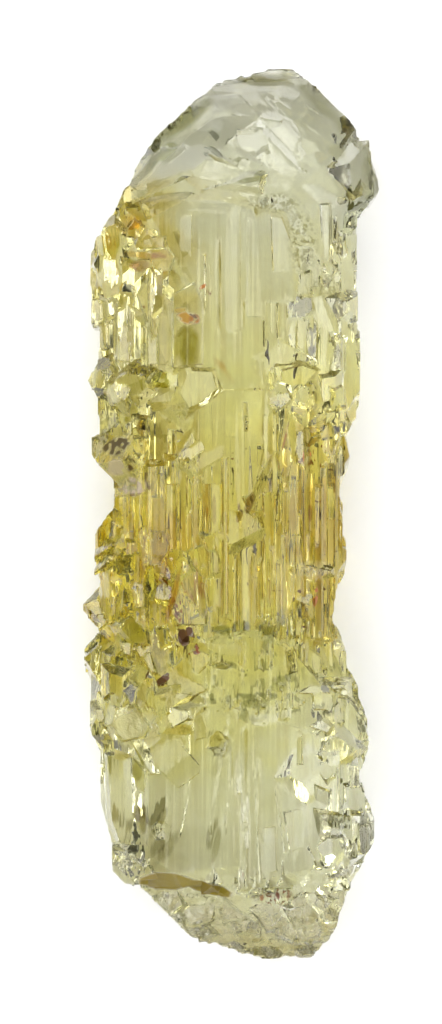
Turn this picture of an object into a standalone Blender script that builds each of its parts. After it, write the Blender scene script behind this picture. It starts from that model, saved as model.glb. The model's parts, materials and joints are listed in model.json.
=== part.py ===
"""Etched heliodor crystal: one natural prism of golden-green beryl, lying on its back prism face.

The c axis of the crystal runs along Y, the rounded head towards +Y and the broken root towards -Y.
The face that is shown looks up (+Z) and the crystal rests on the flat prism face at z = 0.

The sheet: every block is placed by u (to the right) and v (downwards), in millimetres, measured from the
upper left corner of a drawing sheet of the front view, and by its height z above the table.
All facets keep to the few directions that beryl grows and dissolves along, so neighbouring blocks flash together.
"""

import math
import random

import bmesh
import bpy
from mathutils import Vector

# ---- driving dimensions -----------------------------------------------------------
MM = 0.001
SHEET_CENTRE = (23.15, 51.35)  # u, v of the crystal's own origin on the sheet
SHAFT_THICKNESS = 19.5  # between the front and the back prism faces
WAIST_INSET = 0.6  # how far the etched waist stands off the table
COLUMN_SEED = 11
COLUMNS_FRONT = 20
COLUMNS_BACK = 10
COLUMNS_SIDE = 7
BAND_V = (62.6, 66.0, 69.8)  # the three etch bands where columns end

NAME = "heliodor_crystal"

# ---- beryl directions -------------------------------------------------------------
# The edges of a hexagonal prism that lies on one of its faces: front left, front right, back left, back right
HEX = ((-0.866, 0.0, 0.5), (0.866, 0.0, 0.5), (-0.866, 0.0, -0.5), (0.866, 0.0, -0.5))


def hexa(front_left, front_right=None, back_left=None, back_right=None):
    """Prism facets that take these depths off a block's four long edges."""
    front_right = front_left if front_right is None else front_right
    back_left = front_left if back_left is None else back_left
    back_right = front_right if back_right is None else back_right
    return [(*n, c) for n, c in zip(HEX, (front_left, front_right, back_left, back_right))]


def growth_block(name, u0, u1, v0, v1, z0, z1, shaved=(), through=()):
    """A block of crystal inside a box. shaved: (nx, ny, nz, depth) takes a facet that deep off the box's corner.
    through: ((nx, ny, nz), (u, v, z)) is a facet that passes through that point."""
    cu, cv = SHEET_CENTRE
    low = Vector((u0 - cu, cv - v1, z0))
    high = Vector((u1 - cu, cv - v0, z1))
    facets = []
    for nx, ny, nz, depth in shaved:
        n = Vector((nx, ny, nz)).normalized()
        corner = Vector([high[i] if n[i] > 0 else low[i] for i in range(3)])
        facets.append((n, corner - n * depth))
    for normal, (u, v, z) in through:
        facets.append((Vector(normal).normalized(), Vector((u - cu, cv - v, z))))
    return name, low, high, facets


# ---- the shaft, from the head down to the root --------------------------------------
SHAFT = [
    growth_block(
        "head", 10.4, 35.65, 6.9, 43.2, 0, SHAFT_THICKNESS, hexa(3.2, 3.2, 3.4, 3.2),
        [((-.94, .34, 0), (13.35, 18.0, 0)), ((-.83, .555, 0), (15.05, 14.9, 0)), ((-.684, .73, 0), (19.45, 10.4, 0)), ((-.227, .974, 0), (24.3, 7.7, 0)),
         ((.633, .774, 0), (29.7, 7.3, 0)), ((.707, .707, 0), (32.9, 10.1, 0)), ((.857, .514, 0), (35.4, 12.8, 0)),
         ((-.08, .45, .89), (25, 20.8, 19.5)), ((-.05, .62, .78), (26, 14.5, 16.3)), ((-.50, .53, .685), (18.8, 11.0, 11.4)), ((.50, .50, .707), (32.6, 12.6, 15.3)),
         ((-.36, .26, .89), (15.5, 19.5, 17.2)), ((.42, .22, .88), (33, 17, 16.6)), ((.08, .75, .66), (26, 7.0, 11.4)),
         ((.03, .22, -.975), (25, 15, 0)), ((.13, -.13, -.983), (23, 41.2, 0)), ((-.15, -.11, -.983), (23, 41.2, 0)), ((-.30, .62, .73), (21.5, 9.8, 12.7)), ((.27, .60, .75), (29.2, 10.4, 13.6)), ((-.28, .28, -.92), (18.8, 11.0, 2.2)), ((.28, .28, -.92), (32.6, 10.2, 2.2)),
         ((-.22, .17, -.96), (14, 20, 1.4)), ((.24, .16, -.957), (34, 17, 1.4)), ((.22, -.38, .90), (23, 40.8, 19.5)), ((-.3, -.42, .86), (18, 41.4, 19.3)), ((.84, -.54, 0), (35.6, 41.8, 0)), ((.55, -.45, .7), (33.4, 40.8, 17.6))]),
    growth_block("waist", 11.45, 34.0, 38.0, 66.0, WAIST_INSET, 18.6, hexa(3.0, 3.0, 3.2, 3.1), [((.99, -.14, 0), (33.6, 58.5, 0))]),
    growth_block(
        "foot", 10.1, 35.75, 64.0, 88.25, 0, 20.0,
        [(.80, 0, .60, 1.8), (.93, 0, .36, 2.3), (*HEX[2], 3.3), (*HEX[3], 3.2)],
        [((-.951, 0, .308), (10.1, 80, 13.2)), ((-.85, -.03, .525), (13.3, 78, 20)), ((-.04, -.78, .63), (18, 86.7, 20)), ((.16, -.75, .64), (26, 87.6, 20)), ((.12, .14, -.983), (25, 66.4, 0)), ((-.14, .12, -.983), (25, 66.4, 0)),
         ((-.75, -.66, 0), (11.6, 86.6, 0)), ((-.95, -.31, 0), (10.5, 81.5, 0)), ((-.366, -.93, 0), (13.0, 87.5, 0)), ((.84, -.53, 0), (35.4, 86.7, 0)), ((-.5, .8, .3), (11, 66.5, 14)), ((.75, .62, .2), (34.6, 68.2, 10))]),
    growth_block(
        "root", 14.0, 35.0, 82.0, 95.8, 1.2, 17.2, [(-.5, 0, .866, 1.4), (.5, 0, .866, 1.2), (-.6, 0, -.8, 1.6), (.6, 0, -.8, 1.5)],
        [((-.715, -.70, 0), (16.0, 90.4, 0)), ((-.30, -.955, 0), (21.3, 94.2, 0)), ((.947, -.32, 0), (33.9, 91.2, 0)), ((.74, -.67, 0), (32.3, 94.6, 0)),
         ((-.05, -.42, .9), (27, 88.0, 17.0)), ((0, -.8, -.6), (26, 95.0, 3.2)), ((.1, -.75, .62), (26, 95.4, 12.4))]),
    growth_block(
        "apron", 21.6, 35.2, 82.0, 91.8, 3, 18.8, [(.6, 0, .8, 2.0), (-.5, 0, .85, .8)],
        [((0, -.62, .78), (28, 88.6, 18.6)), ((.947, -.32, 0), (34.0, 90.4, 0)), ((-.55, -.8, .2), (23, 90.2, 16))]),
]

# ---- the etched shoulder at the upper left, and the knobs below it --------------------
LEFT_SIDE = [
    growth_block(
        "shoulder_a", 9.9, 16.6, 19.0, 26.6, 4.5, 18.4, [(-.7, .5, -.5, 2.2), (-.8, -.2, .56, 1.0)],
        [((-.80, .60, 0), (9.9, 23.0, 0)), ((-.88, .47, 0), (12.0, 20.4, 0)), ((-.98, -.2, 0), (10.1, 24.4, 0)), ((-.45, .62, .64), (12.6, 20.6, 15.4)), ((-.1, .4, .91), (14.4, 21.4, 18.0)), ((-.3, -.75, .6), (11.4, 25.6, 15.4))]),
    growth_block(
        "shoulder_b", 9.1, 14.4, 24.0, 31.0, 4.5, 16.8, [(-.7, .5, .5, 1.5), (-.6, -.6, .5, 1.7), (-.7, .4, -.6, 1.6), (-.7, -.5, -.5, 1.4)],
        [((-.90, .43, .1), (9.5, 25.4, 11)), ((-.9, -.43, .1), (9.3, 27.6, 11))]),
    growth_block("shoulder_c", 11.6, 17.0, 23.4, 30.8, 8.0, 20.6, [(-.5, .6, .62, 2.0), (.5, .5, .7, 1.3), (-.45, -.6, .66, 2.2), (.5, -.6, .6, 1.7), (-.8, 0, .6, 1.5), (-.12, .1, .98, .35)]),
    growth_block("shoulder_d", 13.6, 16.4, 27.4, 32.6, 9.0, 21.3, [(-.5, .5, .7, .7), (.45, .5, .74, .5), (-.5, -.6, .62, .9), (.5, -.7, .5, 1.0), (.15, .1, .98, .3)]),
    growth_block("shoulder_e", 9.25, 12.6, 28.6, 32.8, 3.6, 14.6, [(-.7, .5, .5, .9), (-.65, -.6, .5, 1.4), (-.8, 0, -.6, 1.0), (-.8, 0, .6, 1.1)]),
    growth_block("left_panel", 11.9, 17.5, 28.8, 37.6, 8.0, 21.2, [(-.7, 0, .7, .9)], [((-.13, 0, .99), (15.0, 33, 20.3)), ((-.5, .6, .62), (13.6, 30.2, 19.8)), ((.45, .5, .74), (16.8, 29.4, 20.0))]),
    growth_block("left_edge", 10.05, 13.0, 30.0, 44.0, 3.4, 16.8, hexa(1.0, .4, 1.0, .4)),
    growth_block(
        "knob_1", 9.9, 18.2, 35.0, 42.3, 6.5, 23.0, (),
        [((-.62, .70, .36), (10.6, 37.2, 17)), ((-.06, .76, .64), (13.6, 35.3, 19.2)), ((.42, .80, .43), (16.6, 36.4, 18.5)),
         ((-.42, -.30, .86), (12.6, 38.6, 21.4)), ((.22, -.36, .90), (15.4, 38.4, 22.4)), ((-.25, -.82, .52), (12.4, 41.3, 18.4)), ((.3, -.8, .52), (16.0, 41.4, 18.0)),
         ((-.8, -.5, .33), (10.3, 39.8, 15)), ((-.75, .3, -.6), (10.2, 38.2, 10)), ((.85, -.1, .52), (17.9, 38.4, 19.6)), ((-.6, -.6, -.5), (11, 41, 9))]),
    growth_block(
        "knob_1_tip", 8.95, 12.6, 36.4, 40.5, 7.5, 15.5, [(-.7, .62, .35, 1.2), (-.7, -.62, .35, 1.3), (-.7, .5, -.5, 1.4), (-.7, -.5, -.5, 1.3)],
        [((-.83, .56, 0), (9.4, 37.4, 0)), ((-.86, -.5, 0), (9.3, 38.9, 0))]),
    growth_block("knob_1_wing", 17.2, 21.2, 37.0, 41.2, 12.0, 20.8, [(.6, .5, .62, 1.3), (.5, -.6, .62, 1.2), (-.3, .7, .62, .6), (.1, -.75, .66, .8), (.25, -.2, .95, .35)]),
    growth_block(
        "knob_2", 9.25, 14.8, 43.6, 50.0, 7.0, 21.6, (),
        [((-.3, .72, .62), (11.4, 43.9, 18.6)), ((-.60, .44, .67), (10.7, 44.7, 17.2)), ((-.50, -.50, .707), (11.4, 47.2, 18.2)), ((.45, .45, .77), (14.0, 45.4, 19.8)),
         ((.2, -.62, .76), (13.4, 48.4, 18.6)), ((-.72, -.69, 0), (9.7, 46.2, 0)), ((-.6, -.4, -.7), (10.4, 46.5, 8.4)), ((-.7, .4, -.58), (10.2, 44.6, 9)), ((.8, -.3, .5), (14.4, 48.4, 18))]),
    growth_block(
        "knob_3", 9.6, 14.2, 51.0, 60.4, 4.0, 16.6, (),
        [((-.80, .60, .0), (10.2, 52.4, 0)), ((-.7, .3, .64), (10.6, 54.4, 14)), ((-.5, -.6, .62), (11.4, 57.6, 14.6)), ((-.85, -.5, .1), (9.9, 58.0, 9)), ((-.7, -.3, -.64), (10.4, 56, 6)), ((-.2, .8, .55), (12.6, 51.4, 14.8)), ((-.7, .5, -.5), (10.6, 53.2, 6))]),
    growth_block(
        "knob_4", 8.4, 15.4, 58.4, 65.2, 4.4, 18.0, (),
        [((-.72, .66, .1), (9.3, 59.9, 11)), ((-.5, .45, .74), (11.4, 59.8, 16.2)), ((-.45, -.5, .74), (11.2, 61.8, 16.0)), ((-.72, -.68, .1), (9.2, 61.3, 11)), ((-.3, .9, .3), (11.6, 58.7, 14)), ((-.7, .2, -.68), (9.6, 61, 6.4)), ((-.7, -.5, -.5), (9.8, 62.8, 6.6)), ((.5, .1, .86), (14, 61, 17.2))]),
    growth_block(
        "knob_5", 8.45, 15.6, 63.0, 69.6, 3.4, 18.4, (),
        [((-.66, .72, .1), (9.6, 64.2, 11)), ((-.6, .3, .74), (10.6, 65.4, 15.8)), ((-.5, -.35, .8), (11, 68, 16.4)), ((-.86, -.5, .1), (8.9, 67.4, 10)), ((-.7, .3, -.65), (9.4, 66, 5.4)), ((-.8, -.1, -.6), (9.2, 67.5, 5.6)), ((.3, .4, .87), (14, 65, 17.6))]),
    growth_block(
        "knob_6", 9.05, 16.4, 67.0, 75.6, 2.6, 19.4, (),
        [((-.9, .3, .3), (9.2, 69.0, 13)), ((-.62, .2, .76), (11.4, 70.5, 17.8)), ((-.92, -.39, 0), (9.3, 73.4, 0)), ((-.5, -.62, .6), (11.8, 73.8, 16.8)), ((-.7, -.3, -.65), (9.5, 72.5, 4.6)), ((-.6, .5, -.62), (9.6, 68.4, 5)), ((.35, -.5, .79), (15, 72, 19.0)), ((-.7, -.7, .2), (10, 75, 10))]),
    growth_block("rough_corner", 11.4, 15.0, 83.8, 87.8, 5.0, 20.6, [(-.6, .5, .62, 1.1), (-.6, -.6, .5, 1.4), (.5, -.5, .7, .8), (-.6, -.4, -.7, 1.0)], [((-.72, -.69, 0), (11.9, 87.0, 0))]),
]

# ---- the right side ---------------------------------------------------------------------
RIGHT_SIDE = [
    growth_block(
        "lip", 31.0, 37.9, 13.6, 21.8, 4.0, 16.4, (),
        [((.70, .71, .1), (36.0, 14.2, 11)), ((.90, .43, .1), (37.2, 16.3, 11)), ((.985, .17, 0), (37.8, 18.6, 0)), ((.77, -.64, 0), (37.1, 20.3, 0)), ((.5, .4, .77), (35.2, 16.2, 15.2)), ((.55, -.1, .83), (35.6, 18.6, 15.4)),
         ((.3, -.72, .62), (35.2, 20.8, 14)), ((.26, .2, -.945), (35.4, 16, 4.4)), ((.3, -.25, -.92), (35.6, 19.8, 4.4)), ((-.2, .5, .84), (33, 15.4, 15.8))]),
    growth_block(
        "right_bulge_1", 31.0, 35.9, 31.2, 43.4, 3.6, 17.4, (),
        [((.93, .36, .1), (35.6, 33.6, 11)), ((.7, .1, .7), (34.6, 37, 16.0)), ((.86, -.5, .1), (35.5, 40.6, 11)), ((.4, -.8, .45), (34.2, 42.6, 14)), ((.75, -.1, -.65), (35, 38, 5.4)), ((.3, .8, .5), (33.6, 31.8, 14))]),
    growth_block(
        "right_bulge_2", 31.0, 35.0, 42.2, 48.8, 4.5, 16.0, (),
        [((.97, .22, .05), (34.8, 44.4, 11)), ((.88, -.47, .1), (34.3, 47.4, 11)), ((.7, .1, .7), (34.0, 46.2, 14.6)), ((.7, 0, -.7), (34.2, 46, 6.4))]),
    growth_block(
        "right_bulge_3", 30.6, 34.7, 53.6, 58.4, 4.5, 16.4, (),
        [((.7, .7, .1), (34.1, 54.0, 11)), ((.85, -.5, .1), (34.4, 57.0, 11)), ((.7, .1, .7), (33.9, 55.4, 15.2)), ((.7, 0, -.7), (34, 55.4, 6)), ((.2, .8, .56), (32.4, 53.8, 14.6))]),
    growth_block(
        "right_low", 29.0, 34.7, 61.6, 72.0, 3.2, 17.4, (),
        [((.72, .69, .1), (33.3, 63.0, 11)), ((.95, .29, .1), (34.4, 66.2, 11)), ((.7, .2, .68), (32.8, 66, 16.2)), ((.1, .85, .5), (31, 62.2, 15.4)), ((.7, .2, -.68), (33.4, 66, 4.8))]),
    growth_block(
        "right_shoulder", 29.4, 36.85, 67.4, 76.8, 2.8, 18.6, (),
        [((.80, .60, .1), (35.6, 70.2, 11)), ((.95, .30, .05), (36.5, 72.0, 11)), ((.88, -.47, .1), (36.4, 75.0, 11)), ((.55, .3, .78), (34.2, 70.8, 16.6)), ((.6, -.3, .74), (34.6, 74.4, 16.8)), ((.1, .84, .53), (32, 68.2, 16.6)),
         ((.3, -.85, .43), (34, 76, 14)), ((.7, .3, -.65), (35.4, 71.6, 4.8)), ((.7, -.3, -.65), (35.4, 74.6, 4.8))]),
    growth_block(
        "right_heel", 30.4, 37.25, 79.0, 88.4, 2.6, 18.0, (),
        [((.62, .78, .1), (36.1, 79.8, 11)), ((.93, .37, .05), (37.0, 81.4, 11)), ((.93, -.37, 0), (37.1, 84.4, 0)), ((.86, -.51, 0), (35.9, 86.1, 0)), ((.5, .5, .7), (34.8, 80.9, 16.2)), ((.55, -.35, .76), (35.2, 84.6, 16.2)),
         ((.7, .2, -.68), (35.8, 82, 4.6)), ((.7, -.4, -.6), (35.6, 85.4, 4.8)), ((.1, .9, .42), (33.4, 79.6, 15.5))]),
    growth_block("right_panel", 33.2, 35.75, 74.5, 82.0, 3.0, 18.4, hexa(.3, 1.4, .3, 1.3)),
]

# ---- relief on the front face --------------------------------------------------------------
FRONT = [
    growth_block(
        "window", 17.4, 29.8, 20.2, 42.0, 10, 21.4, (),
        [((.035, .012, .999), (24.0, 31.0, 20.0)), ((-.30, .02, .95), (19.6, 30, 19.85)), ((.46, .02, .88), (28.7, 30, 19.75)), ((-.22, .42, .88), (21.0, 21.5, 19.8)), ((.22, .46, .86), (25.5, 21.8, 19.85)),
         ((.74, .38, .55), (28.4, 25.6, 19.6)), ((.55, -.80, .25), (28.6, 36.5, 20)), ((-.62, -.75, .2), (21.6, 38.5, 20))]),
    growth_block(
        "front_vee", 18.8, 28.4, 36.0, 53.4, 10, 21.0, (),
        [((-.03, -.035, .999), (23.6, 44.0, 19.75)), ((-.42, -.05, .9), (20.6, 42, 19.5)), ((.5, -.02, .87), (27.2, 42, 19.45)), ((-.80, -.58, .2), (20.6, 46.0, 19.9)), ((.86, -.48, .2), (26.6, 46.4, 19.9))]),
    growth_block(
        "vee_scale", 17.6, 22.4, 43.2, 48.6, 11, 21.0, (),
        [((-.14, .16, .98), (20.0, 45.6, 19.9)), ((-.7, .45, .55), (18.4, 44.6, 19.4)), ((-.45, -.78, .44), (19.4, 47.6, 19.4)), ((.4, -.72, .56), (21.6, 46.8, 19.4)), ((.3, .8, .52), (21.0, 43.6, 19.5))]),
    growth_block(
        "tongue", 20.4, 26.4, 51.0, 56.0, 12, 21.6, (),
        [((-.5, .5, .7), (21.4, 52.6, 20.8)), ((.62, .55, .56), (25.6, 51.8, 20.4)), ((-.35, -.62, .7), (22.2, 54.4, 20.8)), ((.5, -.72, .48), (24.6, 53.9, 20.6)), ((-.85, -.2, .5), (20.9, 54.0, 20)), ((.12, .22, .97), (23.4, 53.2, 21.1))]),
    growth_block(
        "etched_hollow_rim", 27.0, 32.8, 20.6, 26.4, 9, 20.6, (),
        [((.22, .30, .93), (29.8, 23.0, 19.3)), ((-.62, -.40, .67), (27.7, 24.4, 19.3)), ((-.3, .74, .6), (28.8, 21.2, 18.8)), ((.1, -.8, .6), (30, 25.8, 19.0)), ((.75, .1, .65), (32.2, 23, 18.2))]),
    growth_block(
        "right_rough", 26.8, 35.3, 25.0, 31.4, 9, 20.6, (),
        [((.14, .1, .985), (30.2, 28.0, 19.5)), ((.55, .05, .83), (32.8, 28, 18.6)), ((.8, .1, .6), (34.6, 28, 16.4)), ((-.6, .42, .68), (27.4, 26.4, 19.3)), ((-.5, -.6, .62), (28.0, 30.2, 19.3)), ((.2, -.8, .56), (31.6, 30.8, 18.8))]),
    growth_block(
        "grey_facets", 28.4, 34.6, 29.6, 34.4, 9, 21.0, (),
        [((-.05, -.26, .96), (30.6, 31.6, 20.1)), ((.36, -.12, .92), (32.8, 31.6, 19.5)), ((.75, .1, .66), (34.0, 32, 18.0)), ((-.62, .3, .72), (28.9, 31.0, 19.7)), ((-.45, -.6, .66), (29.6, 33.6, 19.4)), ((.2, -.86, .47), (32.0, 34.0, 18.6)), ((.1, .8, .6), (31, 29.8, 19.9))]),
    growth_block("right_column_2", 30.4, 32.4, 33.0, 41.0, 8, 19.6, [(-.5, 0, .87, .3), (.6, 0, .8, .8), (0, -.75, .66, .8)]),
    growth_block("right_column_3", 32.6, 34.2, 32.0, 39.0, 8, 18.4, [(-.5, 0, .87, .25), (.6, 0, .8, .6), (0, -.75, .66, .8)]),
    growth_block(
        "right_plates", 27.2, 33.4, 36.4, 42.8, 9, 21.2, (),
        [((-.16, .12, .98), (30.0, 39.2, 20.1)), ((.30, .22, .93), (31.4, 38.6, 20.0)), ((-.62, .42, .66), (28.0, 38.0, 19.6)), ((-.45, -.72, .53), (28.8, 41.8, 19.4)), ((.5, -.66, .56), (31.8, 41.4, 19.3)), ((.6, .5, .62), (32.4, 37.6, 19.2))]),
    growth_block(
        "feather_scale", 25.6, 29.4, 33.8, 38.6, 9, 21.2, (),
        [((-.2, .2, .96), (27.4, 36.0, 20.15)), ((-.7, .2, .68), (26.0, 36, 19.9)), ((.62, -.45, .64), (28.8, 37.6, 19.8)), ((-.3, -.75, .59), (27.0, 38.0, 19.8)), ((.4, .72, .57), (28.0, 34.2, 19.9))]),
    growth_block("spear", 27.3, 29.5, 41.0, 51.5, 10, 20.4, [(-.6, 0, .8, .6), (.6, 0, .8, .6)], [((-.98, -.17, .2), (27.9, 47, 20)), ((.95, -.28, .2), (28.7, 47.5, 20)), ((.05, -.1, .99), (28.4, 44, 20.2))]),
    growth_block("right_column", 29.6, 32.8, 43.8, 60.4, 8, 18.9, [(-.5, 0, .87, .4), (.6, 0, .8, 1.2), (0, .7, .7, .7), (0, -.75, .66, 1.1)]),
    growth_block(
        "cavern_rim", 12.2, 20.0, 54.4, 61.4, 8, 21.0, (),
        [((-.22, .30, .93), (15.8, 57.4, 19.7)), ((-.62, .2, .75), (13.2, 58, 18.8)), ((.45, .52, .72), (18.6, 56.0, 19.4)), ((-.3, -.72, .62), (14.8, 60.6, 18.9)), ((.62, -.42, .66), (19.0, 59.6, 19.0)), ((-.2, .82, .53), (15.2, 55.0, 19.2))]),
    growth_block(
        "cavern_ridge", 15.6, 21.4, 57.2, 64.6, 9, 21.2, (),
        [((-.58, -.28, .76), (17.4, 61.0, 19.7)), ((.52, -.1, .85), (19.4, 60.4, 19.9)), ((.2, .78, .59), (18.4, 57.8, 19.6)), ((.1, -.8, .59), (18.6, 63.8, 19.3))]),
    growth_block(
        "cavern_lump_1", 11.6, 18.4, 61.6, 68.8, 8, 21.4, (),
        [((-.26, .16, .95), (14.2, 64.6, 20.0)), ((.32, .10, .94), (16.4, 65, 20.0)), ((-.66, .3, .69), (12.2, 64.4, 19.0)), ((-.4, .72, .57), (13.6, 62.2, 19.4)), ((.46, .6, .65), (16.8, 62.6, 19.6)), ((-.4, -.7, .59), (13.4, 68.2, 18.8)), ((.5, -.62, .6), (17.2, 67.4, 19.2))]),
    growth_block(
        "cavern_lump_2", 14.4, 21.4, 65.4, 73.0, 9, 21.6, (),
        [((.10, .22, .97), (18.0, 69.2, 20.45)), ((-.30, -.12, .95), (16.0, 70, 20.2)), ((-.62, .48, .62), (15.2, 67.2, 19.8)), ((.5, .62, .6), (19.6, 66.6, 19.9)), ((-.4, -.68, .61), (16.0, 72.2, 19.8)), ((.6, -.5, .62), (20.4, 71.2, 19.8))]),
    growth_block(
        "rough_plate", 11.6, 16.0, 69.8, 76.2, 9, 21.2, (),
        [((-.22, .1, .97), (13.8, 73, 20.3)), ((.16, -.22, .96), (14.6, 74, 20.25)), ((-.6, .4, .69), (12.3, 70.8, 19.8)), ((.62, .46, .63), (15.2, 70.8, 20.0)), ((-.4, -.76, .51), (13.0, 75.4, 19.6)), ((.7, -.42, .58), (15.5, 74.8, 19.8))]),
    growth_block("rough_wedge", 14.0, 20.0, 72.2, 78.6, 9, 20.55, (), [((-.6, -.62, .5), (15.0, 75.6, 20.2)), ((.62, .58, .53), (17.4, 73.0, 20.2)), ((.5, -.7, .5), (19.4, 77.4, 20.2)), ((-.1, .12, .987), (17, 75, 20.35))]),
    growth_block(
        "window_low", 20.0, 29.4, 62.8, 72.8, 9, 21.2, (),
        [((-.04, .02, .999), (23.4, 68, 20.35)), ((.07, .015, .997), (26.4, 68, 20.35)), ((-.46, .05, .89), (20.9, 68, 20.2)), ((.5, .02, .866), (28.6, 68, 20.15)), ((-.2, .74, .64), (22.0, 63.6, 20.1)), ((.25, .72, .65), (26.6, 63.8, 20.1)), ((-.1, -.62, .78), (23.0, 72.0, 20.2)), ((.2, -.6, .775), (27.4, 71.8, 20.2))]),
    growth_block(
        "lower_left_face", 12.6, 24.6, 70.6, 88.0, 9, 21.2, (),
        [((-.055, .02, .998), (18.4, 79, 20.35)), ((-.55, .1, .83), (14.2, 78, 20.15)), ((-.35, .7, .62), (17.6, 72.4, 20.2)), ((-.5, -.72, .48), (14.4, 84.6, 20.1)), ((.05, -.74, .67), (19.4, 86.8, 20.1))]),
    growth_block(
        "lower_right_face", 23.4, 33.6, 71.2, 88.0, 9, 21.2, (),
        [((.045, .015, .999), (27.6, 79, 20.4)), ((-.42, 0, .91), (24.2, 79, 20.5)), ((.55, .1, .83), (32.4, 79, 20.1)), ((.3, .74, .6), (28.6, 72.0, 20.2)), ((.2, -.74, .64), (28.0, 87.2, 20.1)), ((.62, -.6, .5), (32.0, 85.4, 19.9))]),
    growth_block(
        "big_chip", 27.2, 33.8, 73.4, 80.6, 9, 21.6, (),
        [((.10, .30, .95), (30.6, 76.4, 20.75)), ((.38, -.05, .92), (32.0, 77, 20.5)), ((-.42, .35, .84), (28.6, 75.8, 20.5)), ((-.3, -.42, .86), (29.2, 78.6, 20.5)), ((.3, -.55, .78), (31.6, 79.2, 20.4)), ((0, .8, .6), (30.4, 74.0, 20.6))]),
    growth_block(
        "heel_tooth", 31.8, 36.3, 78.4, 81.2, 9, 19.6, (),
        [((-.15, .5, .85), (33.8, 79.6, 18.9)), ((.62, .4, .68), (35.4, 79.4, 18.2)), ((-.62, .4, .68), (32.4, 79.6, 18.7)), ((.05, -.93, .36), (34.0, 80.9, 18.2))]),
    growth_block(
        "heel_scale", 29.6, 34.6, 83.4, 88.2, 9, 20.4, (),
        [((.35, -.2, .915), (32.0, 86.0, 19.6)), ((-.3, .6, .74), (31.0, 84.2, 19.7)), ((.1, -.74, .66), (32, 87.6, 19.2)), ((-.5, -.4, .77), (30.2, 86.8, 19.6))]),
]


def etched_columns():
    """The waist is dissolved into upright columns. Each stands a little proud of it, and ends in a point at one of the etch bands."""
    r = random.Random(COLUMN_SEED)
    made = []

    def tips():
        return [(0, .72, .70, r.uniform(.3, .8)), (0, -.72, .70, r.uniform(.3, .8)), (0, .72, -.70, .4), (0, -.72, -.70, .4)]

    u = 13.4
    for i in range(COLUMNS_FRONT):
        width = r.uniform(.75, 1.5)
        top, foot = r.uniform(42.0, 52.5), r.choice(BAND_V) + r.uniform(-.5, .5)
        crest = r.uniform(18.9, 19.9) - max(0, abs(u + width / 2 - 22.6) - 7.6) * .75
        made.append(growth_block(f"column_front_{i}", u, u + width, top, foot, 9, crest, [(-.866, 0, .5, .28), (.866, 0, .5, .28), (r.uniform(-.3, .3), 0, 1, .1), *tips()]))
        u += width * .74 + r.uniform(.03, .28)
    for i in range(COLUMNS_BACK):
        width = r.uniform(1.2, 2.0)
        u = 13.9 + 1.3 * i if i < COLUMNS_BACK // 2 else 25.6 + 1.3 * (i - COLUMNS_BACK // 2)
        made.append(growth_block(f"column_back_{i}", u, u + width, r.uniform(42, 50), r.uniform(60, 65), r.uniform(.12, .4), 9, [(-.866, 0, -.5, .3), (.866, 0, -.5, .3), *tips()]))
    for side in (-1, 1):
        for i in range(COLUMNS_SIDE):
            width = r.uniform(1.2, 2.0)
            z = 4.2 + 9.6 * i / (COLUMNS_SIDE - 1)
            out = r.uniform(.05, .45) if side < 0 else r.uniform(0, .3)
            edge = 11.75 - out if side < 0 else 34.05 + out
            u0, u1 = (edge, edge + 5) if side < 0 else (edge - 5, edge)
            top, foot = r.uniform(48.6, 53.0), r.uniform(58.5, 63.0) if side < 0 else r.uniform(55.5, 58.0)
            made.append(growth_block(f"column_side_{'l' if side < 0 else 'r'}{i}", u0, u1, top, foot, z, z + width, [(side * .5, 0, .866, .3), (side * .5, 0, -.866, .3), (side * .7, .7, 0, r.uniform(.2, .5)), (side * .7, -.7, 0, r.uniform(.2, .5))]))
    return made


def striations():
    """Each rib is a thin roof-shaped rod along the c axis, sunk into the face that it stands on."""
    return [
        growth_block(f"rib_{i}", u - width / 2, u + width / 2, v0, v1, crest - 3, crest, [(-.7, 0, .714, width * .30), (.7, 0, .714, width * .24), (0, .6, .8, .35), (0, -.6, .8, .35)])
        for i, (u, width, v0, v1, crest) in enumerate(RIBS)
    ]


# ---- growth striations that stand out on the prism faces: u of the middle, width, v from and to, height of the crest --
RIBS = [
    (24.2, .50, 21.9, 33.5, 20.16), (24.9, .36, 22.3, 31.0, 20.14), (26.4, .62, 22.6, 35.5, 20.10), (27.7, .50, 23.4, 34.5, 20.02), (21.9, .44, 24.0, 33.8, 20.24), (20.4, .36, 25.5, 32.0, 20.30),
    (13.4, .46, 30.9, 36.6, 20.62), (14.5, .34, 30.4, 36.2, 20.66), (15.6, .50, 31.0, 36.8, 20.44), (16.6, .36, 31.8, 37.0, 20.30),
    (24.25, .90, 72.0, 88.2, 20.78), (23.1, .36, 73.6, 85.0, 20.66), (25.7, .44, 75.0, 86.0, 20.60), (21.2, .50, 79.5, 86.6, 20.60), (18.9, .36, 72.6, 79.0, 20.48), (30.6, .44, 81.6, 86.4, 20.40), (28.9, .36, 82.0, 87.0, 20.46),
    (30.9, .50, 31.2, 33.6, 20.18), (31.7, .50, 53.0, 61.6, 18.95), (33.9, .60, 23.4, 30.0, 17.85), (34.6, .50, 75.4, 80.6, 17.2),
]

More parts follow.
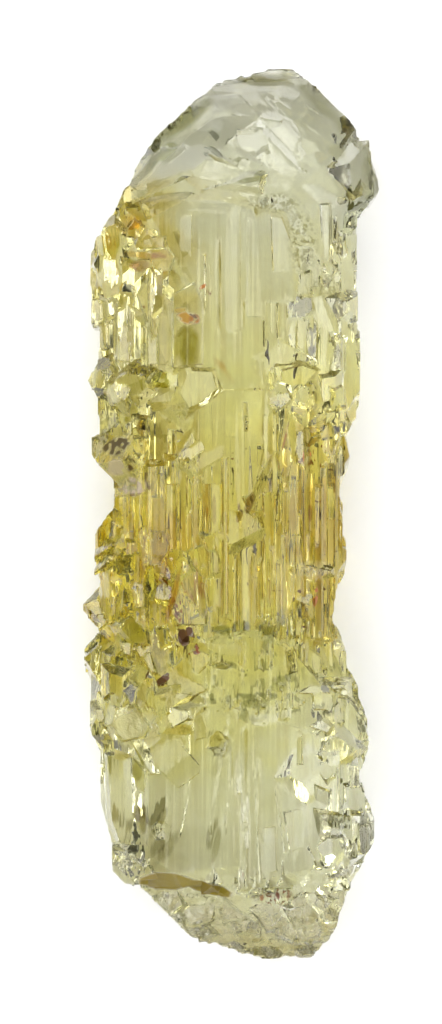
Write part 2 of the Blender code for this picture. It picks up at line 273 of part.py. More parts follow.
# ---- hollows that dissolution left: place on the sheet, z of the mouth, radius, depth, which way the tip points -------
PITS = [
    ("pit_head_1", (24.8, 18.1, 18.9), 1.5, 1.3, (.1, -.25, -1)),
    ("pit_head_2", (21.4, 15.6, 17.0), .95, .9, (.1, -.4, -1)),
    ("pit_cavern_1", (13.6, 62.4, 19.4), 1.9, 2.6, (.25, .1, -1)),
    ("pit_cavern_2", (12.9, 66.4, 19.2), 1.7, 2.2, (.2, .2, -1)),
    ("pit_cavern_3", (15.3, 57.4, 20.4), 1.3, 2.4, (.1, -.1, -1)),
    ("pit_shoulder", (12.9, 24.8, 20.2), 1.5, 1.8, (.3, -.2, -1)),
    ("pit_knob", (16.6, 38.6, 21.2), 1.4, 1.6, (-.2, .1, -1)),
    ("pit_low_left", (16.2, 82.4, 20.7), 1.2, 1.5, (.1, .2, -1)),
    ("pit_low_mid", (22.0, 74.2, 20.6), 1.3, 1.1, (0, -.2, -1)),
    ("pit_right", (32.4, 66.6, 17.6), 1.2, 1.8, (-.4, 0, -1)),
    ("pit_heel", (34.4, 83.2, 17.4), 1.1, 1.5, (-.4, .1, -1)),
    ("pit_lip", (33.6, 18.6, 17.0), 1.1, 1.4, (-.3, 0, -1)),
]


def new_object(name, bm, collection, helper=False):
    mesh = bpy.data.meshes.new(name)
    bm.normal_update()
    bm.to_mesh(mesh)
    bm.free()
    obj = bpy.data.objects.new(name, mesh)
    collection.objects.link(obj)
    if helper:
        obj.hide_render = True
        obj.display_type = "WIRE"
    return obj


def faceted_block(block, collection, helper=True):
    """A box primitive with its facets cut by planes and capped."""
    name, low, high, facets = block
    bm = bmesh.new()
    bmesh.ops.create_cube(bm, size=1.0)
    size, middle = (high - low) * MM, (high + low) / 2 * MM
    bmesh.ops.scale(bm, vec=size, verts=bm.verts)
    bmesh.ops.translate(bm, vec=middle, verts=bm.verts)
    for normal, point in facets:
        cut = bmesh.ops.bisect_plane(bm, geom=bm.verts[:] + bm.edges[:] + bm.faces[:], plane_co=point * MM, plane_no=normal, clear_outer=True, dist=1e-7)
        rim = [e for e in cut["geom_cut"] if isinstance(e, bmesh.types.BMEdge) and len(e.link_faces) == 1]
        if rim:
            bmesh.ops.edgeloop_fill(bm, edges=rim)
    bmesh.ops.remove_doubles(bm, verts=bm.verts[:], dist=2e-7)
    bmesh.ops.recalc_face_normals(bm, faces=bm.faces[:])
    return new_object(name, bm, collection, helper)


def pit_cutter(pit, collection):
    """A six-sided etch pit: a cone that points into the crystal, its hexagon turned as the crystal's own."""
    name, (u, v, z), radius, depth, way = pit
    bm = bmesh.new()
    bmesh.ops.create_cone(bm, cap_ends=True, segments=6, radius1=radius * 1.7 * MM, radius2=radius * .18 * MM, depth=(depth * 1.7) * MM)
    turn = Vector(way).normalized().to_track_quat("Z", "X").to_matrix()
    bmesh.ops.rotate(bm, cent=(0, 0, 0), matrix=turn, verts=bm.verts)
    centre = Vector((u - SHEET_CENTRE[0], SHEET_CENTRE[1] - v, z)) + Vector(way).normalized() * depth * .15
    bmesh.ops.translate(bm, vec=centre * MM, verts=bm.verts)
    bmesh.ops.recalc_face_normals(bm, faces=bm.faces[:])
    return new_object(name, bm, collection, helper=True)


def heliodor_material():
    mat = bpy.data.materials.new("heliodor")
    mat.use_nodes = True
    bsdf = mat.node_tree.nodes["Principled BSDF"]
    bsdf.inputs["Base Color"].default_value = (.74, .70, .32, 1)
    bsdf.inputs["Roughness"].default_value = .08
    bsdf.inputs["Metallic"].default_value = 0
    bsdf.inputs["IOR"].default_value = 1.575
    bsdf.inputs["Transmission Weight"].default_value = 1
    return mat


def main():
    for obj in list(bpy.data.objects):
        bpy.data.objects.remove(obj, do_unlink=True)

    crystal_collection = bpy.data.collections.new("heliodor")
    growth_collection = bpy.data.collections.new("growth_blocks")
    pit_collection = bpy.data.collections.new("etch_pits")
    for collection in (crystal_collection, growth_collection, pit_collection):
        bpy.context.scene.collection.children.link(collection)

    for block in SHAFT[1:] + LEFT_SIDE + RIGHT_SIDE + FRONT + etched_columns() + striations():
        faceted_block(block, growth_collection)
    for pit in PITS:
        pit_cutter(pit, pit_collection)

    crystal = faceted_block(SHAFT[0], crystal_collection, helper=False)
    crystal.name = NAME
    crystal.data.name = NAME
    grown = crystal.modifiers.new("grown_together", "BOOLEAN")
    grown.operation = "UNION"
    grown.operand_type = "COLLECTION"
    grown.collection = growth_collection
    grown.solver = "EXACT"
    etched = crystal.modifiers.new("etched", "BOOLEAN")
    etched.operation = "DIFFERENCE"
    etched.operand_type = "COLLECTION"
    etched.collection = pit_collection
    etched.solver = "EXACT"
    crystal.data.materials.append(heliodor_material())


main()
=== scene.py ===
import json
import math
import random
import time

import bmesh
import bpy
import numpy as np
from mathutils import Euler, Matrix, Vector

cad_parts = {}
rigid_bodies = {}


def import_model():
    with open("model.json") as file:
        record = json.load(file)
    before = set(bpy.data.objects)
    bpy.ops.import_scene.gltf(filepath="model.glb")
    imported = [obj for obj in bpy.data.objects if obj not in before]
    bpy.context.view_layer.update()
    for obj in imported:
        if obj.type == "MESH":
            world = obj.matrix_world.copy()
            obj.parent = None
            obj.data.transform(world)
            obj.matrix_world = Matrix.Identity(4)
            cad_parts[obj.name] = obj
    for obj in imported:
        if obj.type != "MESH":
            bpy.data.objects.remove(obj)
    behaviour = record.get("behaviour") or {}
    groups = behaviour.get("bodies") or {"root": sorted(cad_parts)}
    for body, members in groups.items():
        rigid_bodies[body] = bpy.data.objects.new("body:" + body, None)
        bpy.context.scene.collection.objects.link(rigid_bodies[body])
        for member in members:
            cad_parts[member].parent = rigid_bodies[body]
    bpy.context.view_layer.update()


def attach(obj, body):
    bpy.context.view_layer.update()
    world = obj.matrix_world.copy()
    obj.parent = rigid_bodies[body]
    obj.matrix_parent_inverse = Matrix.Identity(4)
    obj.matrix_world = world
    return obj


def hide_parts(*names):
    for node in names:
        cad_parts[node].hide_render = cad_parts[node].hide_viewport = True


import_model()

"""The look of an etched heliodor crystal.

The crystal is one closed mesh. It is made as a solid is grown and dissolved: the same facet table as the CAD model,
then hundreds of small columns, plates and pits that keep to beryl's own directions, then striations and etching.
The solid is held as distances on a fine grid, and its surface is drawn through the grid by dual contouring, which
keeps the facets' edges sharp. What is sealed in the crystal is made as pieces of their own inside it.

Sheet coordinates: u to the right and v down, in millimetres, z up from the table. The crystal's own origin is at SHEET.
"""

START = time.time()
MM = 0.001
SHEET = (23.15, 51.35)
NODE = "heliodor_crystal"
HEX = ((-.866, 0, .5), (.866, 0, .5), (-.866, 0, -.5), (.866, 0, -.5))
WAIST_INSET = 0.6


def say(what):
    print(f"[{time.time() - START:6.1f} s] {what}", flush=True)


def X(u):
    return u - SHEET[0]


def Y(v):
    return SHEET[1] - v


# ---------------------------------------------------------------------------------------------------------------
# The facet table
# ---------------------------------------------------------------------------------------------------------------


def block(name, u0, u1, v0, v1, z0, z1, shaved=(), through=(), soft=0.0):
    """Half-spaces (n, d) of a convex block: inside where n.p <= d. Millimetres, in the crystal's own frame."""
    low = np.array([X(u0), Y(v1), z0], float)
    high = np.array([X(u1), Y(v0), z1], float)
    n = [(1, 0, 0), (0, 1, 0), (0, 0, 1), (-1, 0, 0), (0, -1, 0), (0, 0, -1)]
    d = [high[0], high[1], high[2], -low[0], -low[1], -low[2]]
    for x, y, z, depth in shaved:
        way = np.array([x, y, z], float)
        way /= np.linalg.norm(way)
        n.append(way)
        d.append(way @ np.where(way > 0, high, low) - depth)
    for way, (u, v, z) in through:
        way = np.array(way, float)
        way /= np.linalg.norm(way)
        n.append(way)
        d.append(way @ np.array([X(u), Y(v), z]))
    return dict(name=name, low=low, high=high, n=np.array(n, float), d=np.array(d, float), soft=soft)


def hexa(front_left, front_right, back_left, back_right):
    return [(*n, c) for n, c in zip(HEX, (front_left, front_right, back_left, back_right))]


# ---- the shaft, from the head down to the root --------------------------------------
SHAFT = [
    block(
        "head", 10.4, 35.65, 6.9, 43.2, 0, 19.5, hexa(3.2, 3.2, 3.4, 3.2),
        [((-.94, .34, 0), (13.35, 18.0, 0)), ((-.83, .555, 0), (15.05, 14.9, 0)), ((-.684, .73, 0), (19.45, 10.4, 0)), ((-.227, .974, 0), (24.3, 7.7, 0)),
         ((.633, .774, 0), (29.7, 7.3, 0)), ((.707, .707, 0), (32.9, 10.1, 0)), ((.857, .514, 0), (35.4, 12.8, 0)),
         ((-.08, .45, .89), (25, 20.8, 19.5)), ((-.05, .62, .78), (26, 14.5, 16.3)), ((-.50, .53, .685), (18.8, 11.0, 11.4)), ((.50, .50, .707), (32.6, 12.6, 15.3)),
         ((-.36, .26, .89), (15.5, 19.5, 17.2)), ((.42, .22, .88), (33, 17, 16.6)), ((.08, .75, .66), (26, 7.0, 11.4)),
         ((.03, .22, -.975), (25, 15, 0)), ((.13, -.13, -.983), (23, 41.2, 0)), ((-.15, -.11, -.983), (23, 41.2, 0)), ((-.30, .62, .73), (21.5, 9.8, 12.7)), ((.27, .60, .75), (29.2, 10.4, 13.6)), ((-.28, .28, -.92), (18.8, 11.0, 2.2)), ((.28, .28, -.92), (32.6, 10.2, 2.2)),
         ((-.22, .17, -.96), (14, 20, 1.4)), ((.24, .16, -.957), (34, 17, 1.4)), ((.22, -.38, .90), (23, 40.8, 19.5)), ((-.3, -.42, .86), (18, 41.4, 19.3)), ((.84, -.54, 0), (35.6, 41.8, 0)), ((.55, -.45, .7), (33.4, 40.8, 17.6))]),
    block("waist", 11.45, 34.0, 38.0, 66.0, WAIST_INSET, 18.6, hexa(3.0, 3.0, 3.2, 3.1), [((.99, -.14, 0), (33.6, 58.5, 0))]),
    block(
        "foot", 10.1, 35.75, 64.0, 88.25, 0, 20.0,
        [(.80, 0, .60, 1.8), (.93, 0, .36, 2.3), (*HEX[2], 3.3), (*HEX[3], 3.2)],
        [((-.951, 0, .308), (10.1, 80, 13.2)), ((-.85, -.03, .525), (13.3, 78, 20)), ((-.04, -.78, .63), (18, 86.7, 20)), ((.16, -.75, .64), (26, 87.6, 20)), ((.12, .14, -.983), (25, 66.4, 0)), ((-.14, .12, -.983), (25, 66.4, 0)),
         ((-.75, -.66, 0), (11.6, 86.6, 0)), ((-.95, -.31, 0), (10.5, 81.5, 0)), ((-.366, -.93, 0), (13.0, 87.5, 0)), ((.84, -.53, 0), (35.4, 86.7, 0)), ((-.5, .8, .3), (11, 66.5, 14)), ((.75, .62, .2), (34.6, 68.2, 10))]),
    block(
        "root", 14.0, 35.0, 82.0, 95.8, 1.2, 17.2, [(-.5, 0, .866, 1.4), (.5, 0, .866, 1.2), (-.6, 0, -.8, 1.6), (.6, 0, -.8, 1.5)],
        [((-.715, -.70, 0), (16.0, 90.4, 0)), ((-.30, -.955, 0), (21.3, 94.2, 0)), ((.947, -.32, 0), (33.9, 91.2, 0)), ((.74, -.67, 0), (32.3, 94.6, 0)),
         ((-.05, -.42, .9), (27, 88.0, 17.0)), ((0, -.8, -.6), (26, 95.0, 3.2)), ((.1, -.75, .62), (26, 95.4, 12.4))]),
    block(
        "apron", 21.6, 35.2, 82.0, 91.8, 3, 18.8, [(.6, 0, .8, 2.0), (-.5, 0, .85, .8)],
        [((0, -.62, .78), (28, 88.6, 18.6)), ((.947, -.32, 0), (34.0, 90.4, 0)), ((-.55, -.8, .2), (23, 90.2, 16))]),
]

# ---- the etched shoulder at the upper left, and the knobs below it --------------------
LEFT_SIDE = [
    block(
        "shoulder_a", 9.9, 16.6, 19.0, 26.6, 4.5, 18.4, [(-.7, .5, -.5, 2.2), (-.8, -.2, .56, 1.0)],
        [((-.80, .60, 0), (9.9, 23.0, 0)), ((-.88, .47, 0), (12.0, 20.4, 0)), ((-.98, -.2, 0), (10.1, 24.4, 0)), ((-.45, .62, .64), (12.6, 20.6, 15.4)), ((-.1, .4, .91), (14.4, 21.4, 18.0)), ((-.3, -.75, .6), (11.4, 25.6, 15.4))]),
    block(
        "shoulder_b", 9.1, 14.4, 24.0, 31.0, 4.5, 16.8, [(-.7, .5, .5, 1.5), (-.6, -.6, .5, 1.7), (-.7, .4, -.6, 1.6), (-.7, -.5, -.5, 1.4)],
        [((-.90, .43, .1), (9.5, 25.4, 11)), ((-.9, -.43, .1), (9.3, 27.6, 11))]),
    block("shoulder_c", 11.6, 17.0, 23.4, 30.8, 8.0, 20.6, [(-.5, .6, .62, 2.0), (.5, .5, .7, 1.3), (-.45, -.6, .66, 2.2), (.5, -.6, .6, 1.7), (-.8, 0, .6, 1.5), (-.12, .1, .98, .35)]),
    block("shoulder_d", 13.6, 16.4, 27.4, 32.6, 9.0, 21.3, [(-.5, .5, .7, .7), (.45, .5, .74, .5), (-.5, -.6, .62, .9), (.5, -.7, .5, 1.0), (.15, .1, .98, .3)]),
    block("shoulder_e", 9.25, 12.6, 28.6, 32.8, 3.6, 14.6, [(-.7, .5, .5, .9), (-.65, -.6, .5, 1.4), (-.8, 0, -.6, 1.0), (-.8, 0, .6, 1.1)]),
    block("left_panel", 11.9, 17.5, 28.8, 37.6, 8.0, 21.2, [(-.7, 0, .7, .9)], [((-.13, 0, .99), (15.0, 33, 20.3)), ((-.5, .6, .62), (13.6, 30.2, 19.8)), ((.45, .5, .74), (16.8, 29.4, 20.0))]),
    block("left_edge", 10.05, 13.0, 30.0, 44.0, 3.4, 16.8, hexa(1.0, .4, 1.0, .4)),
    block(
        "knob_1", 9.9, 18.2, 35.0, 42.3, 6.5, 23.0, (),
        [((-.62, .70, .36), (10.6, 37.2, 17)), ((-.06, .76, .64), (13.6, 35.3, 19.2)), ((.42, .80, .43), (16.6, 36.4, 18.5)),
         ((-.42, -.30, .86), (12.6, 38.6, 21.4)), ((.22, -.36, .90), (15.4, 38.4, 22.4)), ((-.25, -.82, .52), (12.4, 41.3, 18.4)), ((.3, -.8, .52), (16.0, 41.4, 18.0)),
         ((-.8, -.5, .33), (10.3, 39.8, 15)), ((-.75, .3, -.6), (10.2, 38.2, 10)), ((.85, -.1, .52), (17.9, 38.4, 19.6)), ((-.6, -.6, -.5), (11, 41, 9))]),
    block(
        "knob_1_tip", 8.95, 12.6, 36.4, 40.5, 7.5, 15.5, [(-.7, .62, .35, 1.2), (-.7, -.62, .35, 1.3), (-.7, .5, -.5, 1.4), (-.7, -.5, -.5, 1.3)],
        [((-.83, .56, 0), (9.4, 37.4, 0)), ((-.86, -.5, 0), (9.3, 38.9, 0))]),
    block("knob_1_wing", 17.2, 21.2, 37.0, 41.2, 12.0, 20.8, [(.6, .5, .62, 1.3), (.5, -.6, .62, 1.2), (-.3, .7, .62, .6), (.1, -.75, .66, .8), (.25, -.2, .95, .35)]),
    block(
        "knob_2", 9.25, 14.8, 43.6, 50.0, 7.0, 21.6, (),
        [((-.3, .72, .62), (11.4, 43.9, 18.6)), ((-.60, .44, .67), (10.7, 44.7, 17.2)), ((-.50, -.50, .707), (11.4, 47.2, 18.2)), ((.45, .45, .77), (14.0, 45.4, 19.8)),
         ((.2, -.62, .76), (13.4, 48.4, 18.6)), ((-.72, -.69, 0), (9.7, 46.2, 0)), ((-.6, -.4, -.7), (10.4, 46.5, 8.4)), ((-.7, .4, -.58), (10.2, 44.6, 9)), ((.8, -.3, .5), (14.4, 48.4, 18))]),
    block(
        "knob_3", 9.6, 14.2, 51.0, 60.4, 4.0, 16.6, (),
        [((-.80, .60, .0), (10.2, 52.4, 0)), ((-.7, .3, .64), (10.6, 54.4, 14)), ((-.5, -.6, .62), (11.4, 57.6, 14.6)), ((-.85, -.5, .1), (9.9, 58.0, 9)), ((-.7, -.3, -.64), (10.4, 56, 6)), ((-.2, .8, .55), (12.6, 51.4, 14.8)), ((-.7, .5, -.5), (10.6, 53.2, 6))]),
    block(
        "knob_4", 8.4, 15.4, 58.4, 65.2, 4.4, 18.0, (),
        [((-.72, .66, .1), (9.3, 59.9, 11)), ((-.5, .45, .74), (11.4, 59.8, 16.2)), ((-.45, -.5, .74), (11.2, 61.8, 16.0)), ((-.72, -.68, .1), (9.2, 61.3, 11)), ((-.3, .9, .3), (11.6, 58.7, 14)), ((-.7, .2, -.68), (9.6, 61, 6.4)), ((-.7, -.5, -.5), (9.8, 62.8, 6.6)), ((.5, .1, .86), (14, 61, 17.2))]),
    block(
        "knob_5", 8.45, 15.6, 63.0, 69.6, 3.4, 18.4, (),
        [((-.66, .72, .1), (9.6, 64.2, 11)), ((-.6, .3, .74), (10.6, 65.4, 15.8)), ((-.5, -.35, .8), (11, 68, 16.4)), ((-.86, -.5, .1), (8.9, 67.4, 10)), ((-.7, .3, -.65), (9.4, 66, 5.4)), ((-.8, -.1, -.6), (9.2, 67.5, 5.6)), ((.3, .4, .87), (14, 65, 17.6))]),
    block(
        "knob_6", 9.05, 16.4, 67.0, 75.6, 2.6, 19.4, (),
        [((-.9, .3, .3), (9.2, 69.0, 13)), ((-.62, .2, .76), (11.4, 70.5, 17.8)), ((-.92, -.39, 0), (9.3, 73.4, 0)), ((-.5, -.62, .6), (11.8, 73.8, 16.8)), ((-.7, -.3, -.65), (9.5, 72.5, 4.6)), ((-.6, .5, -.62), (9.6, 68.4, 5)), ((.35, -.5, .79), (15, 72, 19.0)), ((-.7, -.7, .2), (10, 75, 10))]),
    block("rough_corner", 11.4, 15.0, 83.8, 87.8, 5.0, 20.6, [(-.6, .5, .62, 1.1), (-.6, -.6, .5, 1.4), (.5, -.5, .7, .8), (-.6, -.4, -.7, 1.0)], [((-.72, -.69, 0), (11.9, 87.0, 0))]),
]

# ---- the right side ---------------------------------------------------------------------
RIGHT_SIDE = [
    block(
        "lip", 31.0, 37.9, 13.6, 21.8, 4.0, 16.4, (),
        [((.70, .71, .1), (36.0, 14.2, 11)), ((.90, .43, .1), (37.2, 16.3, 11)), ((.985, .17, 0), (37.8, 18.6, 0)), ((.77, -.64, 0), (37.1, 20.3, 0)), ((.5, .4, .77), (35.2, 16.2, 15.2)), ((.55, -.1, .83), (35.6, 18.6, 15.4)),
         ((.3, -.72, .62), (35.2, 20.8, 14)), ((.26, .2, -.945), (35.4, 16, 4.4)), ((.3, -.25, -.92), (35.6, 19.8, 4.4)), ((-.2, .5, .84), (33, 15.4, 15.8))]),
    block(
        "right_bulge_1", 31.0, 35.9, 31.2, 43.4, 3.6, 17.4, (),
        [((.93, .36, .1), (35.6, 33.6, 11)), ((.7, .1, .7), (34.6, 37, 16.0)), ((.86, -.5, .1), (35.5, 40.6, 11)), ((.4, -.8, .45), (34.2, 42.6, 14)), ((.75, -.1, -.65), (35, 38, 5.4)), ((.3, .8, .5), (33.6, 31.8, 14))]),
    block(
        "right_bulge_2", 31.0, 35.0, 42.2, 48.8, 4.5, 16.0, (),
        [((.97, .22, .05), (34.8, 44.4, 11)), ((.88, -.47, .1), (34.3, 47.4, 11)), ((.7, .1, .7), (34.0, 46.2, 14.6)), ((.7, 0, -.7), (34.2, 46, 6.4))]),
    block(
        "right_bulge_3", 30.6, 34.7, 53.6, 58.4, 4.5, 16.4, (),
        [((.7, .7, .1), (34.1, 54.0, 11)), ((.85, -.5, .1), (34.4, 57.0, 11)), ((.7, .1, .7), (33.9, 55.4, 15.2)), ((.7, 0, -.7), (34, 55.4, 6)), ((.2, .8, .56), (32.4, 53.8, 14.6))]),
    block(
        "right_low", 29.0, 34.7, 61.6, 72.0, 3.2, 17.4, (),
        [((.72, .69, .1), (33.3, 63.0, 11)), ((.95, .29, .1), (34.4, 66.2, 11)), ((.7, .2, .68), (32.8, 66, 16.2)), ((.1, .85, .5), (31, 62.2, 15.4)), ((.7, .2, -.68), (33.4, 66, 4.8))]),
    block(
        "right_shoulder", 29.4, 36.85, 67.4, 76.8, 2.8, 18.6, (),
        [((.80, .60, .1), (35.6, 70.2, 11)), ((.95, .30, .05), (36.5, 72.0, 11)), ((.88, -.47, .1), (36.4, 75.0, 11)), ((.55, .3, .78), (34.2, 70.8, 16.6)), ((.6, -.3, .74), (34.6, 74.4, 16.8)), ((.1, .84, .53), (32, 68.2, 16.6)),
         ((.3, -.85, .43), (34, 76, 14)), ((.7, .3, -.65), (35.4, 71.6, 4.8)), ((.7, -.3, -.65), (35.4, 74.6, 4.8))]),
    block(
        "right_heel", 30.4, 37.25, 79.0, 88.4, 2.6, 18.0, (),
        [((.62, .78, .1), (36.1, 79.8, 11)), ((.93, .37, .05), (37.0, 81.4, 11)), ((.93, -.37, 0), (37.1, 84.4, 0)), ((.86, -.51, 0), (35.9, 86.1, 0)), ((.5, .5, .7), (34.8, 80.9, 16.2)), ((.55, -.35, .76), (35.2, 84.6, 16.2)),
         ((.7, .2, -.68), (35.8, 82, 4.6)), ((.7, -.4, -.6), (35.6, 85.4, 4.8)), ((.1, .9, .42), (33.4, 79.6, 15.5))]),
    block("right_panel", 33.2, 35.75, 74.5, 82.0, 3.0, 18.4, hexa(.3, 1.4, .3, 1.3)),
]

